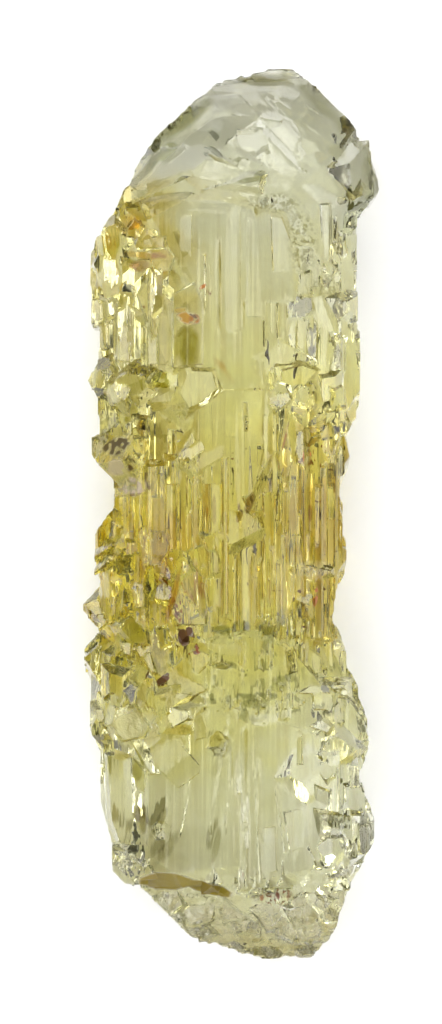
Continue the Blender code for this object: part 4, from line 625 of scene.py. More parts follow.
# ---- single facets that the photograph shows: rise above (or depth below) what is there, lean and its compass way
# ---- (0 right, 90 towards the dome, 180 left, 270 towards the root), slope of the walls, outline on the sheet ----
PLATES = [
    # the dome
    (.16, 9, 150, 2.2, [(15.2, 18.5), (16.5, 16.8), (20.0, 15.0), (21.5, 15.0), (23.4, 17.4), (19.0, 20.0)]),
    (.12, 24, 145, 1.4, [(27.8, 16.0), (29.0, 16.2), (30.3, 17.0), (30.8, 18.0), (28.5, 18.2)]),
    (.08, 25, 140, 1.2, [(28.9, 13.3), (29.6, 13.5), (31.2, 15.0), (29.2, 14.2)]),
    (.14, 14, 0, 1.6, [(28.5, 18.3), (31.0, 19.0), (32.5, 20.5), (31.8, 21.2), (30.0, 20.4)]),
    (.10, 26, 95, 2.0, [(23.0, 9.6), (26.4, 8.4), (29.4, 9.2), (30.0, 11.4), (26.0, 12.2), (23.4, 11.6)]),
    (.10, 9, 20, 1.0, [(32.8, 17.2), (34.6, 17.0), (34.9, 19.6), (33.4, 20.4), (32.4, 19.2)]),
    (.16, 12, 95, 1.0, [(18.0, 20.2), (19.4, 19.6), (22.2, 20.0), (21.2, 20.8), (19.4, 21.0)]),
    # the window face, with its slanting left side
    (.14, 1.5, 200, 1.0, [(15.0, 21.2), (16.3, 24.2), (20.3, 30.5), (29.5, 30.5), (29.2, 25.5), (27.9, 22.2), (22.2, 20.6), (18.0, 20.6)]),
    (.10, 14, 0, .3, [(27.0, 22.2), (28.0, 22.4), (29.2, 25.6), (29.8, 27.6), (27.2, 27.6)]),
    (.08, 9, 180, .3, [(18.2, 22.2), (19.2, 22.0), (19.2, 26.0), (18.2, 25.2)]),
    (.07, 7, 180, .3, [(22.2, 21.6), (24.0, 21.4), (24.0, 33.4), (22.2, 33.4)]),
    (.06, 8, 0, .3, [(24.7, 22.6), (26.2, 22.4), (26.2, 32.0), (24.7, 32.0)]),
    (.35, 20, 0, .3, [(32.0, 21.0), (32.7, 21.0), (32.7, 26.2), (32.0, 26.6)]),
    (.30, 22, 180, .3, [(32.9, 21.4), (33.6, 21.6), (33.6, 26.4), (32.9, 26.0)]),
    (.35, 24, 145, .4, [(28.8, 30.2), (31.0, 30.2), (31.2, 31.4), (30.4, 32.2), (28.8, 32.0)]),
    (.40, 36, 250, .4, [(30.9, 30.0), (33.5, 30.0), (35.0, 30.3), (34.9, 31.5), (33.0, 32.2), (30.9, 32.0)]),
    (.35, 22, 150, .25, [(28.6, 32.4), (29.4, 32.2), (29.5, 35.2), (28.8, 34.8)]),
    (.30, 28, 0, .25, [(29.6, 32.4), (30.4, 32.4), (30.4, 35.6), (29.6, 35.0)]),
    (.35, 24, 160, .25, [(30.6, 32.6), (31.5, 32.6), (31.5, 36.4), (30.6, 35.8)]),
    (.35, 30, 0, .25, [(31.8, 32.6), (32.6, 32.6), (32.6, 37.4), (31.8, 36.6)]),
    (.35, 24, 165, .25, [(33.0, 32.4), (33.9, 32.4), (33.9, 37.0), (33.0, 37.6)]),
    # the etched shoulder
    (.30, 30, 200, .4, [(10.5, 23.4), (11.6, 22.8), (13.0, 23.6), (12.8, 25.8), (11.0, 26.2)]),
    (.30, 30, 100, .4, [(13.0, 24.5), (16.4, 24.4), (16.6, 25.4), (13.2, 25.7)]),
    (.25, 18, 210, .4, [(13.5, 26.5), (15.4, 26.4), (15.8, 28.0), (14.4, 28.7), (13.4, 28.2)]),
    (.25, 26, 150, .4, [(10.8, 26.6), (12.4, 26.4), (12.9, 28.0), (11.8, 29.0), (10.7, 28.4)]),
    (.30, 35, 120, .4, [(11.7, 30.0), (12.5, 29.2), (13.5, 30.6), (12.2, 30.9)]),
    (.95, 34, 190, .3, [(14.1, 30.0), (15.0, 28.3), (15.0, 32.5), (14.5, 31.3)]),
    (.10, 30, 350, .3, [(15.0, 28.3), (15.9, 30.0), (15.7, 31.5), (15.0, 32.5)]),
    (.30, 24, 150, .4, [(11.1, 30.6), (12.1, 30.6), (12.1, 31.8), (11.1, 31.8)]),
    (.22, 32, 230, .4, [(11.1, 31.9), (12.2, 31.9), (12.2, 32.8), (11.1, 32.8)]),
    (.20, 20, 180, .4, [(10.4, 32.7), (11.9, 32.6), (12.0, 35.0), (10.6, 34.8)]),
    (.12, 22, 152, .25, [(12.1, 31.2), (13.3, 31.0), (13.3, 36.6), (12.1, 36.4)]),
    (.12, 5, 0, .25, [(13.4, 31.4), (14.2, 31.6), (14.2, 36.8), (13.4, 36.8)]),
    (.16, 23, 150, .25, [(14.95, 32.6), (15.9, 32.2), (15.9, 36.8), (14.95, 36.8)]),
    (.14, 8, 20, .25, [(16.0, 31.4), (17.35, 30.4), (17.35, 36.8), (16.0, 36.8)]),
    # knob 1 and what lies beside it
    (.20, 12, 80, .5, [(14.5, 38.0), (17.2, 37.4), (17.5, 38.2), (17.1, 38.8), (15.0, 38.8)]),
    (.20, 25, 145, .4, [(16.9, 37.7), (17.8, 37.7), (17.9, 39.0), (17.0, 39.0)]),
    (.15, 26, 262, .5, [(15.0, 38.9), (17.8, 38.9), (17.4, 40.2), (15.2, 40.2)]),
    (.30, 26, 150, .4, [(11.7, 38.8), (12.7, 38.0), (13.3, 39.2), (12.7, 40.5), (12.0, 40.0)]),
    (.25, 38, 232, .4, [(12.6, 40.6), (13.9, 40.2), (14.0, 41.7), (13.0, 42.0)]),
    (.25, 36, 302, .4, [(14.1, 40.2), (15.2, 40.6), (14.8, 42.2), (14.1, 41.9)]),
    (.30, 20, 190, .5, [(10.2, 37.4), (11.2, 36.9), (12.0, 38.2), (11.0, 39.2), (10.0, 38.8)]),
    (.25, 24, 150, .3, [(17.5, 40.4), (18.0, 40.5), (18.0, 42.0), (18.7, 43.0), (18.2, 43.2), (17.5, 42.0)]),
    (.32, 8, 150, .5, [(18.2, 39.5), (19.0, 37.5), (21.2, 37.5), (21.8, 39.2), (20.0, 40.6), (19.0, 41.0)]),
    (.28, 26, 145, .4, [(18.0, 46.0), (20.0, 44.0), (20.7, 45.0), (19.2, 46.1)]),
    (.12, 31, 254, .4, [(18.0, 46.1), (19.6, 46.1), (19.4, 46.8), (18.2, 46.8)]),
    # the middle, and the right side above the waist
    (.35, 20, 20, .4, [(28.0, 37.3), (30.0, 37.0), (31.0, 37.5), (30.3, 38.5), (29.0, 39.0), (27.8, 38.6)]),
    (.30, 28, 200, .4, [(30.0, 40.0), (31.2, 39.5), (31.4, 40.6), (30.8, 41.4)]),
    (.30, 26, 351, .4, [(32.0, 38.0), (33.2, 38.0), (33.2, 40.0), (32.2, 40.2)]),
    (.22, 24, 145, .4, [(27.0, 39.4), (28.4, 39.0), (29.2, 40.2), (28.0, 41.2), (27.0, 40.6)]),
    (.30, 26, 351, .3, [(32.6, 43.2), (34.4, 43.0), (33.6, 44.2), (33.1, 46.6), (32.9, 46.6)]),
    (.22, 24, 160, .25, [(29.2, 43.4), (30.2, 43.2), (30.4, 47.0), (29.6, 46.4)]),
    # the waist
    (.32, 26, 170, .35, [(20.6, 53.7), (21.3, 53.4), (21.7, 55.1), (20.9, 54.9)]),
    (.30, 36, 205, .35, [(19.3, 55.2), (20.7, 54.1), (21.4, 55.3), (20.0, 56.5)]),
    (.35, 12, 270, .35, [(28.8, 56.0), (30.4, 56.4), (32.7, 55.8), (32.9, 57.2), (31.0, 57.9), (29.0, 57.4)]),
    (.15, 5, 190, .3, [(20.3, 56.5), (22.5, 56.3), (22.5, 60.5), (20.6, 60.7)]),
    (.30, 28, 185, .4, [(10.0, 52.6), (10.8, 51.6), (11.4, 52.0), (11.2, 53.2), (10.1, 54.4)]),
    (.30, 24, 145, .3, [(10.6, 55.0), (11.0, 54.6), (12.6, 53.8), (12.2, 54.4)]),
    (.30, 24, 140, .3, [(10.8, 56.2), (11.1, 55.7), (12.8, 54.9), (12.3, 55.6)]),
    (.35, 24, 148, .4, [(8.9, 60.4), (9.8, 59.9), (10.6, 60.6), (10.0, 61.4), (9.2, 61.4)]),
    (.30, 26, 160, .4, [(9.4, 61.7), (10.6, 61.2), (11.0, 62.2), (10.0, 62.8)]),
    (.30, 22, 120, .4, [(13.4, 58.2), (14.6, 57.8), (14.8, 60.6), (13.6, 60.8)]),
    # the caverns and the etch bands
    (.45, 22, 100, .4, [(12.2, 62.5), (13.3, 61.7), (14.7, 63.0), (15.2, 64.2), (13.5, 64.2)]),
    (.40, 30, 210, .4, [(11.3, 65.5), (12.0, 65.0), (13.3, 66.0), (12.8, 66.9), (11.5, 66.9)]),
    (.35, 24, 190, .4, [(11.2, 67.1), (12.6, 67.2), (12.5, 69.0), (11.3, 68.8)]),
    (.40, 26, 145, .3, [(14.6, 65.4), (15.1, 65.1), (15.8, 67.0), (15.2, 66.9)]),
    (.35, 24, 145, .3, [(12.5, 64.1), (13.3, 64.0), (13.2, 65.3), (12.6, 65.2)]),
    (.30, 32, 20, .4, [(15.6, 62.6), (17.0, 62.2), (17.4, 63.8), (16.2, 64.6)]),
    (.30, 24, 150, .4, [(9.9, 70.8), (10.7, 70.7), (10.7, 71.9), (10.1, 71.9)]),
    (.30, 35, 200, .4, [(10.8, 70.0), (11.8, 70.1), (11.8, 71.8), (10.8, 71.9)]),
    (.30, 6, 170, .4, [(11.8, 70.5), (13.7, 70.3), (14.6, 71.2), (15.2, 72.2), (14.5, 73.2), (12.5, 73.5), (11.5, 72.0)]),
    (.35, 30, 30, .35, [(13.2, 73.6), (14.5, 73.5), (16.0, 76.8), (15.2, 76.9)]),
    (.30, 26, 150, .4, [(16.6, 70.8), (18.6, 70.0), (19.2, 71.4), (17.4, 72.2)]),
    (.25, 22, 20, .4, [(19.4, 71.4), (20.6, 71.0), (20.6, 73.2), (19.6, 73.6)]),
    (.30, 33, 87, .35, [(29.5, 69.0), (31.0, 68.3), (34.2, 68.3), (34.2, 68.9), (31.0, 69.0)]),
    (.30, 20, 0, .4, [(31.0, 69.1), (33.0, 69.1), (33.0, 70.5), (31.2, 70.6)]),
    (.30, 24, 145, .4, [(31.2, 72.2), (32.0, 71.7), (33.0, 72.2), (32.6, 72.9)]),
    (.30, 20, 300, .4, [(32.0, 74.5), (32.7, 73.3), (33.5, 73.0), (35.1, 74.5), (33.0, 76.0)]),
    (.25, 26, 351, .4, [(33.2, 63.6), (33.9, 64.2), (34.0, 66.2), (33.2, 66.4)]),
    # the foot
    (.20, 26, 180, .3, [(11.1, 75.4), (13.3, 75.0), (13.2, 80.0), (13.0, 84.3), (12.4, 84.4), (11.5, 81.5)]),
    (.22, 34, 200, .35, [(13.5, 75.4), (14.8, 76.6), (14.6, 78.4), (13.6, 79.6)]),
    (.22, 24, 150, .25, [(24.1, 79.0), (24.7, 79.0), (24.7, 81.6), (24.2, 81.6)]),
    (.20, 24, 150, .25, [(24.4, 81.8), (24.8, 81.8), (24.8, 84.2), (24.5, 84.2)]),
    (.20, 24, 150, .25, [(24.0, 86.0), (24.4, 86.0), (24.4, 88.2), (24.0, 88.2)]),
    (.20, 24, 150, .25, [(23.6, 76.8), (24.1, 76.8), (24.1, 78.8), (23.7, 78.8)]),
    (.25, 30, 60, .35, [(31.5, 75.7), (32.5, 75.9), (33.0, 76.8), (32.5, 77.8), (31.8, 76.9)]),
    (.30, 26, 351, .4, [(35.6, 82.0), (36.9, 82.4), (37.0, 84.8), (35.8, 85.0)]),
    (.25, 24, 150, .4, [(33.6, 84.0), (35.4, 84.0), (35.6, 85.8), (34.0, 86.2)]),
    (.25, 33, 87, .4, [(32.2, 87.3), (34.3, 86.3), (36.0, 86.0), (34.4, 87.3)]),
    (.18, 14, 0, .4, [(28.2, 80.6), (30.6, 80.2), (31.0, 83.6), (28.8, 84.6)]),
    (.16, 12, 180, .4, [(25.2, 82.4), (27.4, 82.0), (27.6, 86.4), (25.6, 86.8)]),
    # the root
    (.25, 24, 145, .4, [(16.4, 89.4), (17.8, 88.9), (18.6, 90.2), (17.2, 91.0)]),
    (.25, 22, 20, .4, [(28.0, 90.2), (31.8, 89.8), (33.0, 91.4), (29.4, 92.2)]),
]

HOLLOWS = [
    (.12, 14, 120, 1.4, [(15.1, 16.0), (16.0, 15.2), (18.0, 15.2), (16.2, 17.0), (15.2, 17.5)]),
    (.16, 24, 300, .6, [(20.5, 15.2), (21.3, 14.9), (22.0, 15.6), (22.6, 16.4), (21.6, 16.2)]),
    (.12, 20, 95, .7, [(23.2, 18.8), (25.0, 17.7), (26.2, 18.0), (25.6, 18.9)]),
    (.14, 20, 300, .8, [(25.6, 20.2), (26.8, 20.0), (27.2, 21.0), (26.0, 21.4)]),
    (.55, 3, 0, .15, [(17.5, 29.8), (19.4, 28.8), (20.2, 30.5), (20.2, 36.6), (17.5, 36.9)]),
    (.30, 44, 0, .2, [(14.35, 33.0), (14.85, 33.0), (14.85, 36.8), (14.35, 36.8)]),
    (.35, 40, 20, .4, [(11.9, 25.2), (13.0, 25.4), (13.2, 26.3), (12.2, 26.6)]),
    (.90, 42, 20, .2, [(13.8, 42.1), (14.7, 42.1), (14.7, 43.6), (13.9, 43.6)]),
    (.50, 44, 0, .2, [(17.0, 43.2), (17.6, 43.2), (17.6, 45.4), (17.1, 45.4)]),
    (.70, 45, 40, .3, [(12.5, 46.4), (13.1, 45.8), (13.8, 46.6), (13.2, 47.4)]),
    (.30, 44, 180, .2, [(24.35, 40.5), (24.7, 40.5), (24.7, 43.2), (24.4, 43.2)]),
    (.40, 42, 160, .3, [(24.3, 49.8), (25.2, 49.5), (25.4, 51.4), (24.9, 51.0)]),
    (.35, 42, 20, .3, [(23.6, 50.9), (24.2, 51.2), (24.0, 52.2)]),
    (.45, 40, 40, .3, [(11.8, 55.7), (13.4, 55.5), (13.4, 56.9), (12.2, 57.1)]),
    (.45, 42, 10, .3, [(12.0, 59.0), (13.0, 58.8), (13.1, 60.0), (12.2, 60.1)]),
    (.50, 44, 350, .3, [(14.8, 57.4), (15.4, 56.7), (15.8, 58.2), (15.2, 59.8), (14.7, 58.8)]),
    (.40, 46, 270, .3, [(21.3, 62.0), (23.2, 61.8), (23.2, 62.7), (21.3, 62.9)]),
    (.40, 46, 90, .3, [(21.4, 63.0), (23.2, 62.9), (23.1, 63.8), (21.4, 64.0)]),
    (.35, 46, 270, .3, [(26.2, 62.2), (27.2, 62.2), (27.2, 63.4), (26.3, 63.4)]),
    (.35, 45, 80, .3, [(21.3, 66.2), (22.2, 66.0), (22.9, 66.3), (22.2, 66.8)]),
    (.35, 38, 150, .4, [(18.5, 70.0), (20.0, 69.0), (20.9, 68.8), (20.7, 70.0)]),
    (.40, 45, 280, .3, [(23.4, 69.0), (24.1, 69.0), (24.0, 70.5), (23.5, 70.5)]),
    (.40, 40, 300, .3, [(20.9, 74.2), (21.2, 73.5), (21.8, 72.9), (22.6, 73.6), (22.3, 74.5)]),
    (.40, 44, 20, .3, [(14.0, 70.0), (15.2, 70.4), (15.7, 71.2), (15.2, 71.8)]),
    (.40, 40, 180, .3, [(33.2, 68.9), (34.2, 68.9), (34.3, 69.9), (33.4, 70.0)]),
    (.35, 44, 0, .2, [(29.6, 73.4), (30.0, 73.4), (30.0, 75.8), (29.7, 75.8)]),
    (.45, 40, 10, .3, [(16.9, 64.8), (17.8, 64.2), (18.2, 65.6), (17.4, 66.4)]),
    (.50, 34, 90, .3, [(31.6, 80.7), (35.8, 81.3), (35.4, 82.9), (32.0, 82.6)]),
    (.40, 36, 60, .3, [(31.5, 78.2), (32.8, 78.6), (32.6, 79.9), (31.6, 80.0)]),
    (.35, 40, 200, .3, [(28.6, 65.0), (29.2, 64.6), (29.4, 66.8), (28.8, 67.0)]),
    (.45, 42, 240, .3, [(15.6, 67.4), (16.6, 67.0), (16.8, 68.4), (15.8, 68.8)]),
]

# ---- thin slivers that fan out over the foot, and long low steps on the window: from, to, width, lean, way --------------
SLIVERS = [
    ((24.4, 71.5), (24.6, 88.0), .5, 20, 170), ((22.9, 71.6), (20.6, 84.6), .35, 12, 170), ((25.2, 73.0), (26.0, 87.6), .3, 16, 10), ((26.6, 72.6), (28.4, 84.6), .35, 10, 20),
    ((19.8, 74.6), (18.0, 83.0), .3, 12, 150), ((28.0, 82.0), (28.2, 87.6), .3, 22, 160), ((29.8, 81.8), (31.6, 86.0), .3, 22, 150), ((26.8, 84.2), (26.8, 88.2), .3, 24, 160),
    ((25.4, 83.0), (25.5, 88.4), .25, 24, 160), ((30.4, 78.0), (30.6, 85.6), .25, 16, 0), ((23.2, 77.0), (22.4, 82.0), .3, 24, 150), ((21.6, 84.0), (21.2, 88.0), .25, 20, 160),
    ((18.1, 22.2), (18.1, 26.6), .25, 24, 180), ((22.1, 21.6), (22.1, 31.0), .22, 22, 180), ((24.0, 21.6), (24.2, 33.0), .25, 20, 180), ((24.9, 21.8), (24.9, 30.0), .18, 22, 0),
    ((26.2, 22.0), (26.3, 32.0), .22, 22, 180), ((27.0, 22.4), (27.1, 33.4), .3, 20, 0), ((20.0, 24.6), (20.1, 34.0), .2, 22, 180), ((21.0, 26.0), (21.0, 33.0), .18, 20, 0),
    ((25.5, 24.0), (25.6, 36.0), .2, 18, 180), ((28.0, 27.0), (28.1, 35.6), .25, 22, 0), ((23.0, 28.0), (23.0, 38.0), .2, 16, 180),
]


def features(s):
    for start, end, width, lean, way in SLIVERS:
        (u0, v0), (u1, v1) = start, end
        plate(s, [(u0 - width * .1, v0), (u0 + width * .2, v0), (u1 + width / 2, v1), (u1 - width / 2, v1)], .03 + width * .07, lean, way, .6, 1.6)
    s.add(faced("vee_face", [(19.7, 39.0), (26.4, 39.0), (26.2, 45.4), (24.2, 52.9), (21.6, 52.9), (19.8, 46.4)], 19.95, 2.6, 262, .8, 4.0))
    for rise, lean, way, wall, outline in PLATES:
        plate(s, outline, rise, lean, way, wall)
    for depth, lean, way, wall, outline in HOLLOWS:
        hollow(s, outline, depth, lean, way, wall)


def grow(s):
    for b in SHAFT + LEFT_SIDE + RIGHT_SIDE + FRONT + etched_columns() + striations():
        s.add(b)
    for p in PITS:
        s.cut(pit(*p))
    say("facet table")
    r = np.random.default_rng(41)
    front, back = s.surface(2, 1), s.surface(2, -1)
    left, right = s.surface(0, -1), s.surface(0, 1)
    inside = s.f < 0
    across = inside.any(2)
    extent = [(AXES[0][np.argmax(row)], AXES[0][len(row) - 1 - np.argmax(row[::-1])]) if row.any() else (0, 0) for row in across.T]
    s.edge = np.array(extent, float)

    # the waist's columns
    def columns(count, u0, u1, v0, v1, widths, proud, lengths, ends=None, side="front"):
        for _ in range(count):
            u, width = r.uniform(u0, u1), r.uniform(*widths)
            length = r.uniform(*lengths)
            if ends is not None and r.random() < .8:
                low_end = r.choice(ends) + r.normal(0, .25)
                top = low_end - length
            else:
                top = r.uniform(v0, v1 - length * .5)
                low_end = top + length
            top, low_end = max(top, v0), min(low_end, v1)
            if low_end - top < .5:
                continue
            at = height_at(front if side == "front" else back, u, (top + low_end) / 2)
            if not np.isfinite(at):
                continue
            rise = r.uniform(*proud)
            if side == "front":
                s.add(column(u, top, low_end, at - 2.5, at + rise, width, r))
            else:
                s.add(column(u, top, low_end, max(at - rise, .02), at + 2.5, width, r, "back"))

    columns(16, 12.0, 33.0, 38.5, 64.0, (1.4, 2.8), (.10, .50), (6, 18), (57.5, 62.4, 63.9), "front")
    columns(26, 12.0, 33.6, 39.5, 64.5, (.5, 1.2), (.10, .42), (8, 20), (57.5, 62.4, 63.9), "front")
    columns(20, 22.5, 29.6, 53.0, 63.4, (.25, .55), (.10, .35), (4, 9), (62.0, 63.4), "front")
    columns(14, 27.2, 33.6, 40.0, 56.0, (.25, .6), (.08, .35), (4, 12), None, "front")
    columns(10, 11.8, 16.6, 49.0, 58.0, (.25, .6), (.08, .30), (3, 8), None, "front")
    columns(64, 19.8, 30.4, 61.5, 71.6, (.25, .6), (.14, .50), (1.2, 3.0), BANDS, "front")
    columns(20, 29.8, 34.4, 32.4, 39.2, (.3, .6), (.08, .3), (4, 7), (38.6,), "front")
    columns(14, 12.2, 17.2, 29.8, 37.2, (.3, .7), (.04, .2), (6, 8), None, "front")
    columns(12, 18.4, 28.0, 22.5, 38.0, (.2, .5), (.015, .06), (6, 14), None, "front")
    columns(10, 30.8, 35.0, 74.0, 83.0, (.3, .8), (.05, .25), (3, 7), None, "front")
    columns(12, 12.5, 19.0, 42.0, 66.0, (.8, 2.0), (.08, .40), (6, 16), (57.0, 62.0), "back")
    columns(16, 26.8, 33.5, 42.0, 64.0, (.6, 1.6), (.08, .40), (6, 16), (57.0, 62.0), "back")
    columns(8, 20.0, 26.0, 54.5, 64.0, (.6, 1.4), (.06, .20), (4, 8), (62.0,), "back")
    for side, surface, count in (("left", left, 40), ("right", right, 50)):
        for _ in range(count):
            v, z = r.uniform(26, 85), r.uniform(3.0, 17.5)
            at = side_at(surface, v, z)
            if not np.isfinite(at):
                continue
            hl = r.uniform(1.5, 6)
            rise = r.uniform(.04, .28)
            u = at + SHEET[0] + (rise if side == "right" else -rise)
            s.add(column(u, v - hl, v + hl, z, 2.6, r.uniform(.4, 1.3), r, side))
    say("columns")

    # the broken root: small shelly facets that overlap
    for _ in range(30):
        u, v, size = r.uniform(16.5, 33.5), r.uniform(88.6, 95.2), r.uniform(.8, 2.1)
        if np.isfinite(height_at(front, u, v)):
            turn = r.uniform(0, math.tau)
            ring = [(u + math.cos(turn + k * math.tau / 5) * size * r.uniform(.6, 1.0) * 1.3, v + math.sin(turn + k * math.tau / 5) * size * r.uniform(.6, 1.0)) for k in range(5)]
            plate(s, ring, r.uniform(.04, .20), r.uniform(5, 26), r.uniform(0, 360), r.uniform(.3, .8), 1.6)

    # chips: etched crystal faces standing in the crumbly places
    def chips(count, u0, u1, v0, v1, sizes, sink, tilt, flat=.55, long=1.25):
        for _ in range(count):
            u, v, size = r.uniform(u0, u1), r.uniform(v0, v1), r.uniform(*sizes)
            at = height_at(front, u, v)
            if np.isfinite(at):
                s.add(chip(u, v, at - size * r.uniform(*sink), size, r, tilt, long, flat))

    chips(15, 12.0, 20.4, 53.5, 71.5, (.9, 2.2), (.15, .5), .2, .7)
    chips(8, 10.0, 13.4, 52.0, 73.0, (.8, 1.7), (.2, .6), .22, .9)
    chips(8, 11.0, 16.6, 21.6, 29.8, (.7, 1.5), (.15, .5), .18, .7)
    chips(12, 28.6, 34.6, 26.0, 31.0, (.5, 1.1), (.2, .5), .2, .6)
    chips(14, 26.6, 34.4, 36.4, 43.4, (.7, 1.6), (.2, .5), .22, .55)
    chips(5, 33.0, 35.4, 22.0, 26.5, (.5, 1.0), (.2, .5), .2, .6)
    chips(8, 28.6, 34.4, 60.0, 72.0, (.7, 1.5), (.2, .5), .2, .6)
    chips(6, 31.0, 36.2, 72.0, 77.0, (.7, 1.4), (.25, .5), .2, .6)
    chips(8, 32.6, 36.8, 81.5, 88.2, (.6, 1.4), (.25, .5), .22, .7)
    chips(6, 11.2, 14.6, 84.2, 88.4, (.6, 1.2), (.2, .5), .24, .9)
    for side, surface, count in (("left", left, 26), ("right", right, 26)):
        for _ in range(count):
            v, z, size = r.uniform(22, 87), r.uniform(3.5, 17.0), r.uniform(.8, 2.2)
            at = side_at(surface, v, z)
            if np.isfinite(at):
                s.add(chip(at + SHEET[0] + (1 if side == "left" else -1) * size * r.uniform(.2, .6), v, z, size, r, .2, 1.2, .9))
    say("chips")
    features(s)
    say("features")


def within_outline(s):
    """Small growths stay on the outline that the facet table gives."""
    for k, sign in ((0, -1), (1, 1)):
        g = sign * (AXES[0][:, None] - (s.edge[:, k] + sign * .06)[None, :])
        g = np.broadcast_to(g[:, :, None].astype(np.float32), SHAPE)
        over = (g > s.f) & (g < 9.0)
        s.f[over] = g[over]
        s.g[over] = (sign, 0, 0)
        s.id[over] = PIT - 8


def etch(s):
    """Striations, waviness and etching, as a shift of the surface that keeps its slope."""
    yy = AXES[1][None, :, None]
    zz = AXES[2][None, None, :]
    v = SHEET[1] - yy
    dome = 1 - ramp(v, 16.5, 21.5)
    root = ramp(v, 87.3, 89.3)
    body = (1 - dome) * (1 - root)
    waist = ramp(v, 38, 46) * (1 - ramp(v, 66, 70))
    lined = np.clip(
        waist * np.ones(SHAPE, np.float32)
        + blob((14.6, 33.5, 20.0), (4.2, 5.0, 4)) * .7
        + blob((32.5, 34.0, 18.0), (4.0, 8.0, 5)) * .9
        + blob((34.0, 24.0, 17.0), (2.6, 4.0, 4)) * .7
        + blob((34.6, 77.0, 16.0), (2.4, 5.0, 6)) * .8
        + blob((25.4, 70.5, 20.0), (6.0, 3.0, 3)) * .6, 0, 1)
    d = np.zeros(SHAPE, np.float32)
    d += (.006 + .022 * lined) * np.abs(lattice_noise(1, (.42, 14.0, .42))) * body
    d += (.020 + .060 * lined) * np.abs(lattice_noise(2, (1.1, 22.0, 1.1))) * body
    d += .05 * lattice_noise(3, (5.0, 9.0, 5.0)) * (1 - root)
    d += .035 * np.maximum(lattice_noise(4, (.55, 7.5, .55)), 0) * waist
    # ripples on the dome: broad, shallow, scalloped, and finer at its top
    d += .07 * np.abs(lattice_noise(5, (3.4, 2.6, 3.4))) * dome
    d += .16 * np.abs(lattice_noise(6, (2.2, 1.0, 1.4))) * (1 - ramp(v, 8.8, 11.0))
    # rough places
    rough = np.maximum.reduce([
        root * np.ones(SHAPE, np.float32) * .35,
        blob((27.4, 20.9, 19.5), (3.8, 1.5, 3)) * 1.1,
        blob((30.0, 24.8, 19.0), (2.2, 4.2, 3)) * 1.1,
        blob((33.0, 15.6, 16.5), (2.0, 2.0, 4)) * .6,
        blob((31.0, 28.0, 18.5), (4.0, 3.0, 4)) * .5,
        blob((13.4, 72.0, 20.5), (2.4, 2.6, 2.5)) * .6,
        blob((12.2, 48.2, 17.5), (2.4, 2.2, 4)) * .9,
        blob((12.6, 86.2, 17.5), (2.4, 2.6, 6)) * .7,
        blob((14.2, 80.5, 19.5), (1.0, 4.6, 2)) * .8,
        blob((35.5, 85.0, 14.0), (2.2, 4.0, 8)) * .4,
    ])
    d += .10 * np.abs(lattice_noise(7, (.8, .8, .8))) * rough
    d += .05 * lattice_noise(8, (.40, .45, .40)) * rough
    d += .34 * np.abs(lattice_noise(9, (1.7, 2.6, 1.7))) * root
    d += .07 * lattice_noise(10, (.50, .60, .50)) * root
    d += .08 * np.abs(lattice_noise(11, (.9, .7, .9))) * root
    d += .05 * np.abs(lattice_noise(12, (.30, 3.0, .30))) * root
    # the face that the crystal lies on stays flat
    d *= ramp(zz, .25, 1.2)
    s.f += d
    for a in range(3):
        s.g[..., a] += np.gradient(d, float(STEP[a]), axis=a)
    say("etching")


def keep_in_box(s):
    """The visual model stays inside the CAD model's box, and flat where it lies."""
    lo, hi = LOW + .01, HIGH - .01
    n = np.array([(1, 0, 0), (0, 1, 0), (0, 0, 1), (-1, 0, 0), (0, -1, 0), (0, 0, -1)], float)
    d = np.array([hi[0], hi[1], hi[2], -lo[0], -lo[1], 0.0])
    for i in range(6):
        axis = i % 3
        form = [1, 1, 1]
        form[axis] = -1
        g = (AXES[axis] * n[i][axis] - d[i]).reshape(form)
        over = np.broadcast_to(g, SHAPE) > s.f
        s.f[over] = np.broadcast_to(g, SHAPE)[over]
        s.g[over] = n[i]
        s.id[over] = PIT - 1 - i


def flood(mask, seed):
    """The nodes of mask that a walk from seed reaches."""
    reached = np.zeros_like(mask)
    reached[seed] = mask[seed]
    last = -1
    while True:
        for axis in range(3):
            m, q = np.moveaxis(mask, axis, 0), np.moveaxis(reached, axis, 0)
            for i in range(1, len(m)):
                q[i] |= q[i - 1] & m[i]
            for i in range(len(m) - 2, -1, -1):
                q[i] |= q[i + 1] & m[i]
        now = int(reached.sum())
        if now == last:
            return reached
        last = now


def unpinch(s):
    """Fills the grid's diagonal pinches, where the surface would touch itself along an edge."""
    inside = s.f < 0
    filled = np.zeros_like(inside)
    for _ in range(8):
        before = int(filled.sum())
        for a, b in ((0, 1), (0, 2), (1, 2)):
            whole, marks = (np.moveaxis(q, (a, b), (0, 1)) for q in (inside, filled))
            p, q, r, t = whole[:-1, :-1], whole[1:, :-1], whole[:-1, 1:], whole[1:, 1:]
            rising = p & t & ~q & ~r
            marks[1:, :-1] |= rising
            q |= rising
            falling = q & r & ~p & ~t
            marks[:-1, :-1] |= falling
            p |= falling
        if int(filled.sum()) == before:
            break
    s.f[filled] = -.01
    say(f"{int(filled.sum())} pinches filled")


def one_body(s):
    """Drops loose crumbs and fills sealed hollows."""
    inside = s.f < 0
    middle = tuple(int(np.argmin(np.abs(AXES[a] - c))) for a, c in enumerate((0, -20, 10)))
    main = flood(inside, middle)
    loose = inside & ~main
    s.f[loose] = .05
    outside = ~main
    open_air = flood(outside, (0, 0, 0))
    sealed = outside & ~open_air
    s.f[sealed] = -.05
    say(f"one body: {int(loose.sum())} loose and {int(sealed.sum())} sealed nodes mended")


# ---------------------------------------------------------------------------------------------------------------
# Dual contouring
# ---------------------------------------------------------------------------------------------------------------


